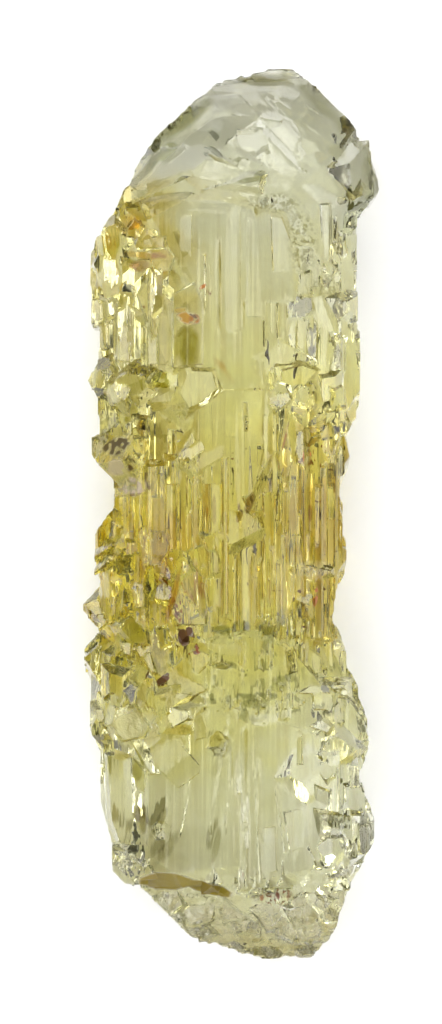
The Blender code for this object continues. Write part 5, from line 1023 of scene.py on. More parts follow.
def contour(s):
    f, g, ident = s.f, s.g, s.id
    inside = f < 0
    points, normals, cells, quads = [], [], [], []
    nx, ny, nz = SHAPE
    flat = lambda i, j, k: (i * ny + j) * nz + k
    for a in range(3):
        cut_a = [slice(None)] * 3
        cut_b = [slice(None)] * 3
        cut_a[a], cut_b[a] = slice(0, -1), slice(1, None)
        i, j, k = np.nonzero(inside[tuple(cut_a)] != inside[tuple(cut_b)])
        step = np.zeros(3, int)
        step[a] = 1
        i2, j2, k2 = i + step[0], j + step[1], k + step[2]
        fa, fb = f[i, j, k], f[i2, j2, k2]
        ga, gb = g[i, j, k], g[i2, j2, k2]
        ia, ib = ident[i, j, k], ident[i2, j2, k2]
        h = STEP[a]
        with np.errstate(divide="ignore", invalid="ignore"):
            ta = -fa / (h * ga[:, a])
            tb = 1 - fb / (h * gb[:, a])
        line = fa / (fa - fb)
        ok_a = np.isfinite(ta) & (ta >= -.001) & (ta <= 1.001)
        ok_b = np.isfinite(tb) & (tb >= -.001) & (tb <= 1.001)
        starts_in = fa < 0
        from_in_a = np.where(starts_in, ta, 1 - ta)
        from_in_b = np.where(starts_in, tb, 1 - tb)
        sharp = (ia == ib) | (ia >= PIT - 6) | (ib >= PIT - 6)
        a_first = np.where(sharp, from_in_a <= from_in_b, from_in_a >= from_in_b)
        use_a = np.where(ok_a & ok_b, a_first, ok_a)
        t = np.where(use_a, ta, tb)
        neither = ~ok_a & ~ok_b
        t = np.clip(np.where(neither, line, t), .001, .999)
        normal = np.where(use_a[:, None], ga, gb)
        normal = np.where(neither[:, None], ga + gb, normal)
        normal /= np.linalg.norm(normal, axis=1, keepdims=True) + 1e-9
        p = np.stack([AXES[0][i], AXES[1][j], AXES[2][k]], 1).astype(np.float64)
        p[:, a] += t * h
        b, c = [(1, 2), (2, 0), (0, 1)][a]
        ring = []
        for db, dc in ((-1, -1), (0, -1), (0, 0), (-1, 0)):
            at = np.stack([i, j, k], 1)
            at[:, b] += db
            at[:, c] += dc
            ring.append(flat(at[:, 0], at[:, 1], at[:, 2]))
        ring = np.stack(ring, 1)
        ring_out = np.where(starts_in[:, None], ring, ring[:, ::-1])
        quads.append(ring_out)
        for column_of in range(4):
            points.append(p)
            normals.append(normal)
            cells.append(ring[:, column_of])
    p, n, c = np.concatenate(points), np.concatenate(normals), np.concatenate(cells)
    names, index = np.unique(c, return_inverse=True)
    count = len(names)
    total = lambda w: np.bincount(index, weights=w, minlength=count)
    hits = np.bincount(index, minlength=count).astype(float)
    mass = np.stack([total(p[:, a]) for a in range(3)], 1) / hits[:, None]
    q = p - mass[index]
    b = np.einsum("ij,ij->i", n, q)
    ata = np.empty((count, 3, 3))
    for r in range(3):
        for col in range(r, 3):
            ata[:, r, col] = ata[:, col, r] = total(n[:, r] * n[:, col])
    atb = np.stack([total(n[:, a] * b) for a in range(3)], 1)
    soft = .06 * hits
    ata[:, range(3), range(3)] += soft[:, None]
    x = mass + np.linalg.solve(ata, atb[..., None])[..., 0]
    at = np.stack([names // (ny * nz), (names // nz) % ny, names % nz], 1)
    low = np.stack([AXES[a][at[:, a]] for a in range(3)], 1)
    margin = STEP * .02
    x = np.clip(x, low + margin, low + STEP - margin)
    position = np.full(nx * ny * nz, -1, np.int64)
    position[names] = np.arange(count)
    quads = position[np.concatenate(quads)]
    say(f"contour: {count} points, {len(quads)} quads")
    return x, quads


def to_mesh(name, points, quads):
    mesh = bpy.data.meshes.new(name)
    mesh.vertices.add(len(points))
    mesh.vertices.foreach_set("co", (points * MM).astype(np.float32).ravel())
    mesh.loops.add(quads.size)
    mesh.loops.foreach_set("vertex_index", quads.astype(np.int32).ravel())
    mesh.polygons.add(len(quads))
    mesh.polygons.foreach_set("loop_start", np.arange(0, quads.size, 4, dtype=np.int32))
    mesh.update(calc_edges=True)
    mesh.validate()
    obj = bpy.data.objects.new(name, mesh)
    bpy.context.scene.collection.objects.link(obj)
    return obj


def make_crystal():
    s = Solid()
    grow(s)
    within_outline(s)
    etch(s)
    keep_in_box(s)
    unpinch(s)
    one_body(s)
    unpinch(s)
    points, quads = contour(s)
    obj = to_mesh("heliodor", points, quads)
    wanted = 196000
    have = len(quads) * 2
    if have > wanted:
        fewer = obj.modifiers.new("fewer", "DECIMATE")
        fewer.ratio = wanted / have
        fewer.use_collapse_triangulate = True
        bpy.context.view_layer.update()
        graph = bpy.context.evaluated_depsgraph_get()
        lighter = bpy.data.meshes.new_from_object(obj.evaluated_get(graph))
        obj.modifiers.clear()
        old = obj.data
        obj.data = lighter
        lighter.name = "heliodor"
        bpy.data.meshes.remove(old)
    obj.data.polygons.foreach_set("use_smooth", np.ones(len(obj.data.polygons), bool))
    obj.data.set_sharp_from_angle(angle=math.radians(24))
    say(f"crystal: {len(obj.data.polygons)} faces")
    return obj

# ---------------------------------------------------------------------------------------------------------------
# Materials
# ---------------------------------------------------------------------------------------------------------------


class Nodes:
    """A short way to write a node tree."""

    def __init__(self, name):
        self.material = bpy.data.materials.new(name)
        self.material.use_nodes = True
        self.tree = self.material.node_tree
        self.tree.nodes.clear()
        self.out = self.tree.nodes.new("ShaderNodeOutputMaterial")

    def node(self, kind, **values):
        made = self.tree.nodes.new(kind)
        for key, value in values.items():
            if key == "inputs":
                for name, v in value.items():
                    self.feed(made.inputs[name], v)
            else:
                setattr(made, key, value)
        return made

    def feed(self, socket, value):
        if isinstance(value, bpy.types.NodeSocket):
            self.tree.links.new(value, socket)
        else:
            socket.default_value = value

    def math(self, operation, *values, clamp=False):
        made = self.node("ShaderNodeMath", operation=operation, use_clamp=clamp)
        for i, v in enumerate(values):
            self.feed(made.inputs[i], v)
        return made.outputs[0]

    def vector(self, operation, *values):
        made = self.node("ShaderNodeVectorMath", operation=operation)
        for i, v in enumerate(values):
            self.feed(made.inputs[i], v)
        return made.outputs["Value" if operation in ("LENGTH", "DISTANCE", "DOT_PRODUCT") else "Vector"]

    def mix(self, factor, a, b, blend="MIX"):
        made = self.node("ShaderNodeMix", data_type="RGBA", blend_type=blend)
        self.feed(made.inputs["Factor"], factor)
        self.feed(made.inputs[6], a)
        self.feed(made.inputs[7], b)
        return made.outputs[2]

    def fall(self, value, start, end, low=0.0, high=1.0):
        made = self.node("ShaderNodeMapRange", interpolation_type="SMOOTHSTEP")
        for name, v in (("Value", value), ("From Min", start), ("From Max", end), ("To Min", low), ("To Max", high)):
            self.feed(made.inputs[name], v)
        return made.outputs["Result"]

    def noise(self, vector, scale, detail=3.0, rough=.55, **more):
        made = self.node("ShaderNodeTexNoise", **more)
        self.feed(made.inputs["Vector"], vector)
        made.inputs["Scale"].default_value = scale
        made.inputs["Detail"].default_value = detail
        made.inputs["Roughness"].default_value = rough
        return made.outputs["Fac"]

    def scaled(self, vector, factors):
        return self.vector("MULTIPLY", vector, factors)


def place(u, v, z):
    return (X(u) * MM, Y(v) * MM, z * MM)


# Colour zoning. The heart of the crystal from the dome to the root: v on the sheet, tint. Light passes the surface at
# least twice, so a tint is about the square root of the tone it gives.
HEART = [
    (7, (.98, .98, .96)), (12, (.94, .94, .91)), (17, (.86, .87, .85)), (24, (.82, .82, .71)), (30, (.81, .80, .63)),
    (38, (.88, .87, .59)), (50, (.92, .87, .41)), (60, (.94, .88, .39)), (67, (.87, .85, .46)), (78, (.79, .79, .64)),
    (87, (.83, .83, .70)), (91, (.90, .88, .77)), (95.4, (.68, .62, .34)),
]
# The left flank is golden, and the right one clear at both ends and brown at the waist: v, how much.
GOLD, CLEAR, BROWN = (.80, .66, .07), (.98, .99, .98), (.80, .65, .15)
GOLDEN_LEFT = [(16, 0), (20.5, .6), (24, .75), (32, .38), (40, .30), (47, .45), (53, 1), (59, .9), (65, .72), (72, .30), (77, 0), (83, .1), (87, .25), (90, 0)]
CLEAR_RIGHT = [(7, 0), (14, 1), (20, .5), (24, .05), (30, .22), (35, .08), (40, 0), (66, 0), (70, .35), (76, .6), (84, .82), (88, .35), (92, 0)]
BROWN_RIGHT = [(37, 0), (43, .55), (50, .92), (58, .62), (63, .40), (67, 0)]

# Stains and colour zones, and painted shade and painted highlights: place on the sheet, half-sizes, turn in degrees,
# tint, strength, raggedness, softness of the edge.
STAINS_AND_PAINTED_LIGHT = [
    # the dome: painted olive shade along its rim and edges, where one looks along it; a painted highlight along the
    # ledge at its foot; a grey spot and an olive triangle of painted shade in its hollows
    ((18.5, 12.6, 14), (3.8, .95, 60), 40, (.54, .54, .30), .75, .8, .7),
    ((15.5, 16.1, 14), (2.5, .80, 60), 64, (.50, .50, .27), .75, .8, .7),
    ((20.6, 20.7, 17), (3.0, .26, 60), -6, (1.0, 1.0, 1.0), .80, .5, .5),
    ((17.0, 15.7, 15), (1.3, 1.0, 60), 40, (.50, .52, .30), .70, 1.0, .5),
    ((21.6, 15.6, 17), (.95, .34, 60), -38, (.22, .23, .19), .85, -.30, .35),
    ((25.2, 18.4, 17), (1.7, .30, 60), 9, (.24, .24, .09), .85, -.35, .4),
    ((25.9, 17.9, 17), (.7, .40, 60), 24, (.30, .30, .12), .80, .5, .4),
    ((26.0, 8.2, 14), (4.4, 1.0, 60), 0, (.52, .50, .29), .72, 1.0, .8),
    ((32.0, 10.8, 14), (4.8, .85, 60), -42, (.52, .52, .29), .75, .9, .8),
    ((37.2, 16.8, 12), (.8, 2.6, 60), -6, (.58, .58, .32), .65, .8, .7),
    ((33.4, 15.4, 15), (1.3, 1.3, 60), 0, (.62, .62, .36), .60, 1.2, .6),
    ((36.7, 17.0, 12), (.7, 2.4, 60), -8, (.66, .66, .40), .60, .6, .6),
    # iron in the shoulder, and the rust film below it
    ((13.3, 22.6, 16), (2.4, 1.7, 30), -30, (.60, .38, .03), .85, .8, .6),
    ((14.2, 26.0, 17), (2.2, .36, 30), -8, (.54, .27, .01), .80, .9, .5),
    ((11.4, 25.2, 17), (1.4, 1.0, 30), 0, (.62, .60, .12), .75, .6, .5),
    ((14.2, 27.1, 18), (.9, .7, 30), 20, (.34, .16, .02), .80, .7, .5),
    ((12.0, 24.6, 18), (1.2, .9, 30), 20, (.50, .42, .05), .70, .7, .5),
    ((18.8, 34.7, 18), (1.45, 2.1, 30), 0, (.44, .40, .0), .85, -.7, .6),
    ((22.2, 36.9, 19), (1.9, .6, 30), -52, (.66, .38, .06), .65, 1.2, .8),
    # knob 1: the yellow facet
    ((16.6, 38.2, 19), (1.5, .9, 30), 6, (.80, .78, .08), .80, .3, .3),
    # knob 2: brown roof and pinkish face
    ((14.2, 42.9, 17), (.5, .85, 30), 0, (.20, .12, .02), .90, .3, .3),
    # golden fuzz of the waist's left, its smooth pale middle, the brown of its right with red threads
    ((17.2, 53.5, 16), (2.6, 3.6, 60), -10, (.80, .58, .11), .65, .9, .8),
    ((16.8, 56.4, 16), (.9, 2.0, 60), -14, (.60, .36, .03), .70, .9, .7),
    ((17.5, 59.2, 16), (.42, 3.6, 60), -15, (.46, .18, .01), .80, .6, .5),
    ((24.9, 50.4, 18), (.45, 1.1, 30), -18, (.20, .11, .01), .90, .5, .35),
    ((23.9, 51.6, 18), (.28, .7, 30), -20, (.24, .14, .02), .90, .5, .35),
    ((21.4, 50.8, 18), (.3, 1.9, 30), 0, (.36, .26, .05), .80, .5, .5),
    ((31.0, 51.4, 16), (1.8, 6.2, 60), 4, (.64, .46, .11), .75, 1.0, .7),
    ((30.6, 54.8, 16), (2.6, 1.0, 60), 12, (.66, .50, .09), .75, .5, .35),
    ((31.0, 56.8, 17), (2.2, .9, 30), 4, (.96, .90, .80), .75, .4, .3),
    ((30.9, 51.4, 16), (.3, 1.1, 30), 0, (.26, .10, .02), .90, .6, .4),
    # beside the caverns, painted shade in the hollows and saturated facets; at the etch bands, dark teeth of painted
    # shade with painted highlights between them, and painted shade in the hollows below
    ((12.3, 56.4, 17), (.9, .8, 30), 0, (.28, .25, .03), .85, .4, .3),
    ((12.8, 59.4, 17), (.7, .6, 30), 0, (.36, .32, .04), .80, .4, .3),
    ((15.2, 58.2, 17), (.52, 1.6, 30), 0, (.30, .27, .03), .92, .3, .25),
    ((13.4, 63.2, 17), (1.7, 1.2, 30), 20, (.56, .53, .06), .90, .4, .25),
    ((12.2, 66.2, 17), (1.2, .9, 30), 20, (.56, .52, .08), .80, .4, .3),
    ((22.0, 62.8, 17), (1.3, .75, 60), 0, (.15, .17, .05), .90, .8, .5),
    ((24.4, 62.5, 17), (.5, .5, 60), 0, (.20, .21, .07), .80, .8, .5),
    ((26.7, 62.9, 17), (.9, .7, 60), 0, (.17, .18, .06), .88, .8, .5),
    ((23.0, 64.7, 17), (1.7, .7, 60), 0, (.97, .96, .80), .70, .5, .5),
    ((22.2, 66.4, 17), (.8, .3, 30), -6, (.18, .15, .03), .90, .3, .3),
    ((25.6, 70.0, 17), (1.9, .55, 60), 0, (.24, .25, .08), .80, .8, .5),
    ((27.6, 68.4, 17), (1.3, .6, 60), 0, (.30, .31, .11), .70, .9, .5),
    ((26.6, 71.6, 17), (2.2, .75, 60), 0, (1.0, 1.0, .95), .75, .5, .5),
    ((19.7, 69.6, 17), (1.1, .5, 30), -14, (.40, .34, .08), .80, .4, .3),
    ((21.6, 73.8, 17), (.7, .8, 30), 0, (.42, .40, .16), .75, .3, .3),
    # the foot: dark leaf-shaped painted shadows, a painted highlight down its pale left strip and a thin one down its
    # middle, a grey painted shadow under the tooth, the brown-gold end face, iron specks
    ((18.0, 75.5, 12), (4.2, 4.6, 60), 0, (.78, .74, .30), .45, .5, .9),
    ((16.0, 81.7, 10), (.50, 2.2, 60), -27, (.28, .26, .10), .90, .35, .35),
    ((16.7, 84.2, 10), (.80, 2.5, 60), -36, (.30, .27, .10), .80, .6, .5),
    ((21.6, 84.0, 10), (.38, 2.1, 60), -12, (.34, .32, .13), .80, .4, .5),
    ((22.1, 75.2, 10), (.5, 2.6, 60), -22, (.50, .48, .24), .55, .6, .6),
    ((12.2, 79.4, 14), (1.5, 6.2, 60), 0, (1.0, .99, .92), .95, .3, .4),
    ((13.9, 76.3, 12), (.65, 1.6, 60), 0, (.34, .31, .06), .88, .3, .3),
    ((14.3, 81.4, 14), (.7, 1.9, 60), 20, (.30, .25, .05), .85, .7, .4),
    ((24.2, 80.5, 19), (.26, 6.5, 60), -2, (1.0, 1.0, .98), .80, .5, .4),
    ((33.4, 81.9, 15), (2.3, .9, 60), 0, (.60, .62, .50), .65, .5, .4),
]
# Films of iron oxide, which let little light through: as above, the last number being how much of the film is opaque.
CRUSTS = [
    ((18.8, 32.1, 19), (1.50, .72, 6), -8, (.42, .22, .0), 1.0, .6, .45, .78),
    ((19.5, 32.3, 19), (.78, .62, 6), 0, (.32, .12, .0), 1.0, .7, .5, .85),
    ((18.0, 31.4, 19), (.9, .34, 6), 10, (.46, .31, .01), .9, .9, .6, .55),
    ((20.3, 29.1, 19), (.6, .25, 30), 30, (.50, .12, .01), .95, .8, .5, .65),
    ((13.6, 27.0, 18), (.8, .45, 30), 20, (.36, .17, .012), .9, 1.0, .6, .5),
    ((13.2, 22.4, 16), (1.7, .9, 30), -30, (.72, .42, .04), .8, 1.1, .8, .32),
    ((11.7, 44.8, 17), (2.1, .95, 8), 10, (.075, .048, .003), 1.0, .8, .35, .90),
    ((11.6, 46.8, 17), (1.5, 1.0, 8), 0, (.50, .41, .26), .90, .8, .45, .60),
    ((13.3, 46.5, 17), (.42, .75, 8), -10, (.09, .052, .008), 1.0, .7, .4, .85),
    ((14.9, 48.2, 17), (.24, 1.1, 8), 12, (.12, .07, .010), 1.0, .8, .4, .80),
    ((13.2, 48.7, 16), (1.6, .95, 8), 4, (.50, .41, .31), 1.0, .8, .35, .78),
    ((13.1, 49.55, 16), (1.5, .16, 8), 6, (.14, .085, .02), .95, .7, .4, .75),
    ((17.5, 59.4, 17), (.24, 2.9, 6), -15, (.24, .085, .004), .95, .7, .5, .60),
    ((18.1, 61.6, 17), (.28, 1.2, 6), -8, (.20, .06, .004), 1.0, .6, .4, .70),
    ((18.40, 63.42, 17), (.58, .84, 6), 14, (.080, .029, .002), 1.0, -.55, .14, .94),
    ((18.95, 62.9, 17), (.42, .50, 6), -24, (.10, .036, .003), 1.0, -.55, .14, .94),
    ((19.75, 64.7, 17), (.15, .50, 6), 14, (.24, .050, .006), 1.0, -.35, .2, .80),
    ((16.35, 67.7, 17), (.70, .36, 6), 30, (.085, .031, .002), 1.0, -.55, .14, .94),
    ((28.3, 44.3, 18), (.22, 3.0, 8), -14, (.22, .080, .010), .95, .9, .5, .65),
    ((30.2, 45.8, 17), (.15, 1.1, 8), 0, (.40, .085, .008), .95, .6, .5, .70),
    ((30.9, 45.9, 17), (.20, .95, 8), 0, (.42, .095, .010), .95, .7, .5, .65),
    ((31.4, 59.4, 16), (.28, 1.3, 30), -8, (.40, .10, .02), .95, .8, .5, .60),
    ((16.6, 87.60, 17), (2.9, 1.12, 6), -2, (.24, .17, .002), 1.0, -.14, .22, .66),
    ((20.8, 88.30, 17), (2.8, .74, 6), -16, (.24, .17, .002), 1.0, -.14, .22, .66),
    ((27.6, 89.0, 16), (.28, .55, 30), 0, (.16, .045, .015), 1.0, .8, .4, .80),
    ((26.1, 89.2, 16), (.22, .40, 30), 0, (.38, .13, .04), .9, .8, .4, .60),
    ((28.7, 89.0, 16), (.16, .50, 30), 0, (.22, .08, .03), .9, .8, .4, .60),
]
# Painted shade of the etch pits, as dark specks on the glass: place, half-sizes.
PAINTED_PIT_SHADE = [
    ((27.2, 20.8, 19.5), (3.8, 1.3, 4)),
    ((30.0, 24.8, 19.0), (1.9, 3.9, 4)),
    ((32.6, 29.0, 18.0), (1.6, 1.6, 4)),
    ((13.2, 48.6, 16.5), (1.6, 1.0, 4)),
]
FROSTED = [
    ((27.2, 20.8, 19.5), (3.8, 1.4, 3), .16),
    ((30.0, 24.8, 19.5), (2.0, 4.0, 3), .16),
    ((35.8, 16.2, 13), (3.2, 4.8, 12), .20),
    ((13.2, 72.0, 20), (2.4, 2.0, 3), .34),
    ((12.6, 48.2, 17), (2.2, 1.8, 4), .34),
    ((12.6, 86.2, 17), (2.4, 2.4, 6), .22),
    ((34.0, 56.0, 12), (1.4, 2.0, 8), .20),
]


def heliodor_material():
    n = Nodes("heliodor")
    here = n.node("ShaderNodeTexCoord").outputs["Object"]
    axes = n.node("ShaderNodeSeparateXYZ", inputs={"Vector": here})
    wobble = n.math("SUBTRACT", n.noise(here, 330, 1), .5)
    fine = n.noise(here, 1500, 0)
    along = n.math("MULTIPLY_ADD", wobble, -.012, axes.outputs["Y"])
    across = n.math("MULTIPLY_ADD", wobble, .010, axes.outputs["X"])
    t = n.math("MULTIPLY_ADD", along, -1 / .090, Y(6) * MM / .090)

    def down(stops):
        """A tint, or an amount, that changes along the crystal."""
        ramp_node = n.node("ShaderNodeValToRGB", inputs={"Fac": t})
        elements = ramp_node.color_ramp.elements
        while len(elements) < len(stops):
            elements.new(.5)
        for e, (v, tint) in zip(elements, stops):
            e.position = (v - 6) / 90
            e.color = (*tint, 1) if isinstance(tint, tuple) else (tint, tint, tint, 1)
        return ramp_node.outputs["Color"]

    leftward = n.fall(across, X(21.5) * MM, X(14.0) * MM)
    rightward = n.fall(across, X(25.5) * MM, X(32.0) * MM)
    zones = n.mix(n.math("MULTIPLY", leftward, down(GOLDEN_LEFT)), down(HEART), (*GOLD, 1))
    zones = n.mix(n.math("MULTIPLY", rightward, down(CLEAR_RIGHT)), zones, (*CLEAR, 1))
    zones = n.mix(n.math("MULTIPLY", rightward, down(BROWN_RIGHT)), zones, (*BROWN, 1))

    # stripes along the growth direction
    streaks = n.noise(n.scaled(here, (1250, 40, 150)), 1.0, 1, .6)
    # facets seen through the crystal in different depths of colour: slanting cells
    slant = n.node("ShaderNodeCombineXYZ")
    n.feed(slant.inputs[0], n.vector("DOT_PRODUCT", here, (520, 210, 60)))
    n.feed(slant.inputs[1], n.vector("DOT_PRODUCT", here, (-190, 330, 90)))
    n.feed(slant.inputs[2], n.math("MULTIPLY", wobble, 6.0))
    cell = n.node("ShaderNodeSeparateColor", inputs={"Color": n.node("ShaderNodeTexWhiteNoise", noise_dimensions="3D", inputs={"Vector": n.vector("FLOOR", slant.outputs[0])}).outputs["Color"]})
    lines = n.noise(n.scaled(here, (2600, 45, 2600)), 1.0, 0, .6)
    grain = n.noise(here, 3200, 1, .6)
    pits = n.noise(here, 2300, 1, .6)
    patchy = n.fall(fine, .38, .52, .35, 1.0)

    def near(centre, radii, turn, ragged, inner, amount):
        off = n.vector("SUBTRACT", here, place(*centre))
        if turn:
            off = n.node("ShaderNodeVectorRotate", rotation_type="Z_AXIS", inputs={"Vector": off, "Angle": -math.radians(turn)}).outputs[0]
        off = n.vector("MULTIPLY", off, tuple(1 / (q * MM) for q in radii))
        if ragged < 0:
            sides = n.node("ShaderNodeSeparateXYZ", inputs={"Vector": n.vector("ABSOLUTE", off)})
            corner = n.math("MULTIPLY", n.math("ADD", sides.outputs["X"], sides.outputs["Y"]), .70)
            far = n.math("MULTIPLY_ADD", wobble, -ragged, n.math("MAXIMUM", n.math("MAXIMUM", sides.outputs["Z"], corner), n.math("MAXIMUM", sides.outputs["X"], sides.outputs["Y"])))
        else:
            far = n.math("MULTIPLY_ADD", wobble, ragged, n.vector("LENGTH", off))
        return n.fall(far, 1.0, inner, 0, amount)

    comb = n.noise(n.scaled(here, (2100, 420, 300)), 1.0, 1, .6)

    def glass(v0, v1, dark_stripes, light_stripes, olive_cells, pale_cells, lined=True, tooth_shade=None):
        """The crystal between two heights of the sheet, with the stains, painted shade and painted highlights that lie
        there.
        """
        colour = zones
        if dark_stripes:
            colour = n.mix(n.math("MULTIPLY", n.fall(streaks, .53, .64), dark_stripes), colour, (.46, .31, .06, 1))
            colour = n.mix(n.math("MULTIPLY", n.fall(streaks, .47, .36), light_stripes), colour, (1.17, 1.19, 1.25, 1), "MULTIPLY")
        # painted shade: dark teeth across the etch bands, with painted highlights between them
        if tooth_shade is not None:
            colour = n.mix(n.math("MULTIPLY", n.fall(comb, .50, .58), tooth_shade), colour, (.17, .18, .05, 1))
            colour = n.mix(n.math("MULTIPLY", n.fall(comb, .46, .40), tooth_shade), colour, (1.14, 1.15, 1.3, 1), "MULTIPLY")
        if olive_cells:
            colour = n.mix(n.math("MULTIPLY", n.fall(cell.outputs[0], .34, .16), olive_cells), colour, (.40, .35, .04, 1))
            colour = n.mix(n.math("MULTIPLY", n.fall(cell.outputs[1], .70, .84), pale_cells), colour, (1.15, 1.17, 1.45, 1), "MULTIPLY")
        # stains, and painted shade and painted highlights, each mixed in as a tint
        for centre, radii, turn, tint, strength, ragged, soft in STAINS_AND_PAINTED_LIGHT:
            reach = max(radii[0], radii[1]) * 1.1
            if v0 - reach < centre[1] < v1 + reach:
                colour = n.mix(near(centre, radii, turn, ragged * 1.8, 1.0 - soft * .9, strength), colour, (*tint, 1))
        if v1 > 90:
            shell = n.node("ShaderNodeTexVoronoi", feature="F1", inputs={"Vector": n.vector("MULTIPLY", here, (520, 900, 520)), "Scale": 1.0})
            tone = n.node("ShaderNodeSeparateColor", inputs={"Color": shell.outputs["Color"]}).outputs[0]
            colour = n.mix(n.fall(tone, .5, .9), colour, (1.20, 1.20, 1.26, 1), "MULTIPLY")
            colour = n.mix(n.fall(tone, .30, .05, 0, .30), colour, (.66, .61, .36, 1))
        opaque = None
        for centre, radii, turn, tint, strength, ragged, soft, amount in CRUSTS:
            if v0 - radii[1] * 1.1 < centre[1] < v1 + radii[1] * 1.1:
                film = near(centre, radii, turn, ragged * 1.8, 1.0 - soft * .9, strength)
                if ragged > 0:
                    film = n.math("MULTIPLY", film, patchy)
                colour = n.mix(film, colour, (*tint, 1))
                opaque = n.math("MULTIPLY", film, amount) if opaque is None else n.math("MAXIMUM", opaque, n.math("MULTIPLY", film, amount))
        # painted shade of the etch pits, as dark specks
        for centre, radii in PAINTED_PIT_SHADE:
            if v0 - radii[1] < centre[1] < v1 + radii[1]:
                pit_shade_speck = n.math("MULTIPLY", n.fall(pits, .45, .57), near(centre, radii, 0, .8, .5, .85))
                colour = n.mix(pit_shade_speck, colour, (.30, .28, .12, 1))
        frost = .0
        if v1 > 90:
            frost = n.math("MULTIPLY_ADD", n.fall(fine, .45, .60), n.fall(along, Y(88.0) * MM, Y(91.0) * MM, 0, .12), n.fall(along, Y(90.5) * MM, Y(93.0) * MM, 0, .10))
        for centre, radii, amount in FROSTED:
            if v0 - radii[1] < centre[1] < v1 + radii[1]:
                frost = n.math("MAXIMUM", frost, near(centre, radii, 0, .8, .5, amount))
        height = lines
        if not lined:
            height = n.math("MULTIPLY", fine, .35)
        if not isinstance(frost, float):
            height = n.math("MULTIPLY_ADD", grain, n.math("MULTIPLY", frost, 16.0 if v1 > 90 else 11.0 if lined else 4.0), height)
        bump = n.node("ShaderNodeBump", inputs={"Strength": .5, "Distance": .00006, "Height": height})
        made = n.node("ShaderNodeBsdfPrincipled")
        n.feed(made.inputs["Base Color"], colour)
        rough = n.math("ADD", n.fall(fine, .55, .75, .02, .07), frost)
        if opaque is not None:
            rough = n.math("MULTIPLY_ADD", opaque, .55, rough)
        n.feed(made.inputs["Roughness"], rough)
        n.feed(made.inputs["Normal"], bump.outputs["Normal"])
        made.inputs["IOR"].default_value = 1.575
        if opaque is None:
            made.inputs["Transmission Weight"].default_value = 1.0
        else:
            n.feed(made.inputs["Transmission Weight"], n.math("SUBTRACT", 1.0, opaque))
        return made.outputs[0]

    waist = n.math("MULTIPLY", n.fall(along, Y(67) * MM, Y(61) * MM), n.fall(along, Y(40) * MM, Y(47) * MM))
    def band(v, reach):
        return n.fall(n.math("ABSOLUTE", n.math("SUBTRACT", along, Y(v) * MM)), reach * .5 * MM, reach * MM, 1, 0)

    # where the painted shade and painted highlights of the etch bands' teeth lie, down the front's middle
    front_middle = n.fall(n.math("ABSOLUTE", n.math("SUBTRACT", axes.outputs["X"], X(25.2) * MM)), .0044, .0056, .75, 0)
    teeth = n.math("MULTIPLY", front_middle, n.math("MAXIMUM", band(66.3, .8), band(70.4, 1.0)))
    upper_teeth = n.math("MULTIPLY", front_middle, band(62.8, 1.0))
    smooth_middle = n.math("MULTIPLY", n.fall(n.math("ABSOLUTE", n.math("SUBTRACT", axes.outputs["X"], X(23.1) * MM)), .0024, .0036, .9, 0), n.fall(along, Y(54.5) * MM, Y(52.5) * MM))
    waist = n.math("MULTIPLY", waist, n.math("SUBTRACT", 1.0, smooth_middle))
    right = n.fall(across, X(24.0) * MM, X(30.0) * MM, .45, 1.0)
    left = n.fall(across, X(20.5) * MM, X(16.0) * MM)
    parts = [
        (21.5, glass(0, 21.5, 0, 0, 0, 0, lined=False)),
        (40.0, glass(21.5, 40.0, n.math("MULTIPLY_ADD", left, .10, .12), .30, n.math("MULTIPLY", left, .60), n.math("MULTIPLY_ADD", left, .45, .15))),
        (65.4, glass(40.0, 65.4, n.math("MULTIPLY_ADD", n.math("MULTIPLY", waist, right), .55, .12), n.math("MULTIPLY_ADD", waist, .6, .2), n.math("MULTIPLY_ADD", left, .62, .04), n.math("MULTIPLY_ADD", left, .5, .12), tooth_shade=upper_teeth)),
        (88.4, glass(65.4, 88.4, .10, .40, n.math("MULTIPLY", n.math("MULTIPLY", left, n.fall(along, Y(76) * MM, Y(71) * MM)), .62), .20, tooth_shade=teeth)),
        (200, glass(88.4, 100, 0, 0, 0, 0, lined=False)),
    ]
    surface = parts[-1][1]
    for edge, shader in parts[-2::-1]:
        above = n.math("GREATER_THAN", axes.outputs["Y"], Y(edge) * MM)
        chosen = n.node("ShaderNodeMixShader")
        n.tree.links.new(above, chosen.inputs[0])
        n.tree.links.new(surface, chosen.inputs[1])
        n.tree.links.new(shader, chosen.inputs[2])
        surface = chosen.outputs[0]
    tree = n.tree
    tree.links.new(surface, n.out.inputs["Surface"])
    absorb = n.node("ShaderNodeVolumeAbsorption")
    absorb.inputs["Color"].default_value = (.80, .79, .52, 1)
    absorb.inputs["Density"].default_value = 26
    tree.links.new(absorb.outputs[0], n.out.inputs["Volume"])
    return n.material


def mineral_material(name, dark, light, roughness, scale=2500):
    """An opaque mineral sealed in the crystal."""
    n = Nodes(name)
    here = n.node("ShaderNodeTexCoord").outputs["Object"]
    mottle = n.noise(here, scale, 4, .6)
    colour = n.mix(n.fall(mottle, .35, .68), (*dark, 1), (*light, 1))
    body = n.node("ShaderNodeBsdfPrincipled")
    n.feed(body.inputs["Base Color"], colour)
    n.feed(body.inputs["Roughness"], n.fall(mottle, .3, .7, roughness, roughness + .2))
    bump = n.node("ShaderNodeBump", inputs={"Strength": .3, "Distance": .00005, "Height": mottle})
    n.feed(body.inputs["Normal"], bump.outputs["Normal"])
    n.tree.links.new(body.outputs[0], n.out.inputs["Surface"])
    return n.material


# ---------------------------------------------------------------------------------------------------------------
# What is sealed in the crystal
# ---------------------------------------------------------------------------------------------------------------


def new_piece(name, bm, material):
    mesh = bpy.data.meshes.new(name)
    bm.normal_update()
    bm.to_mesh(mesh)
    bm.free()
    obj = bpy.data.objects.new(name, mesh)
    bpy.context.scene.collection.objects.link(obj)
    mesh.materials.append(material)
    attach(obj, "root")
    return obj


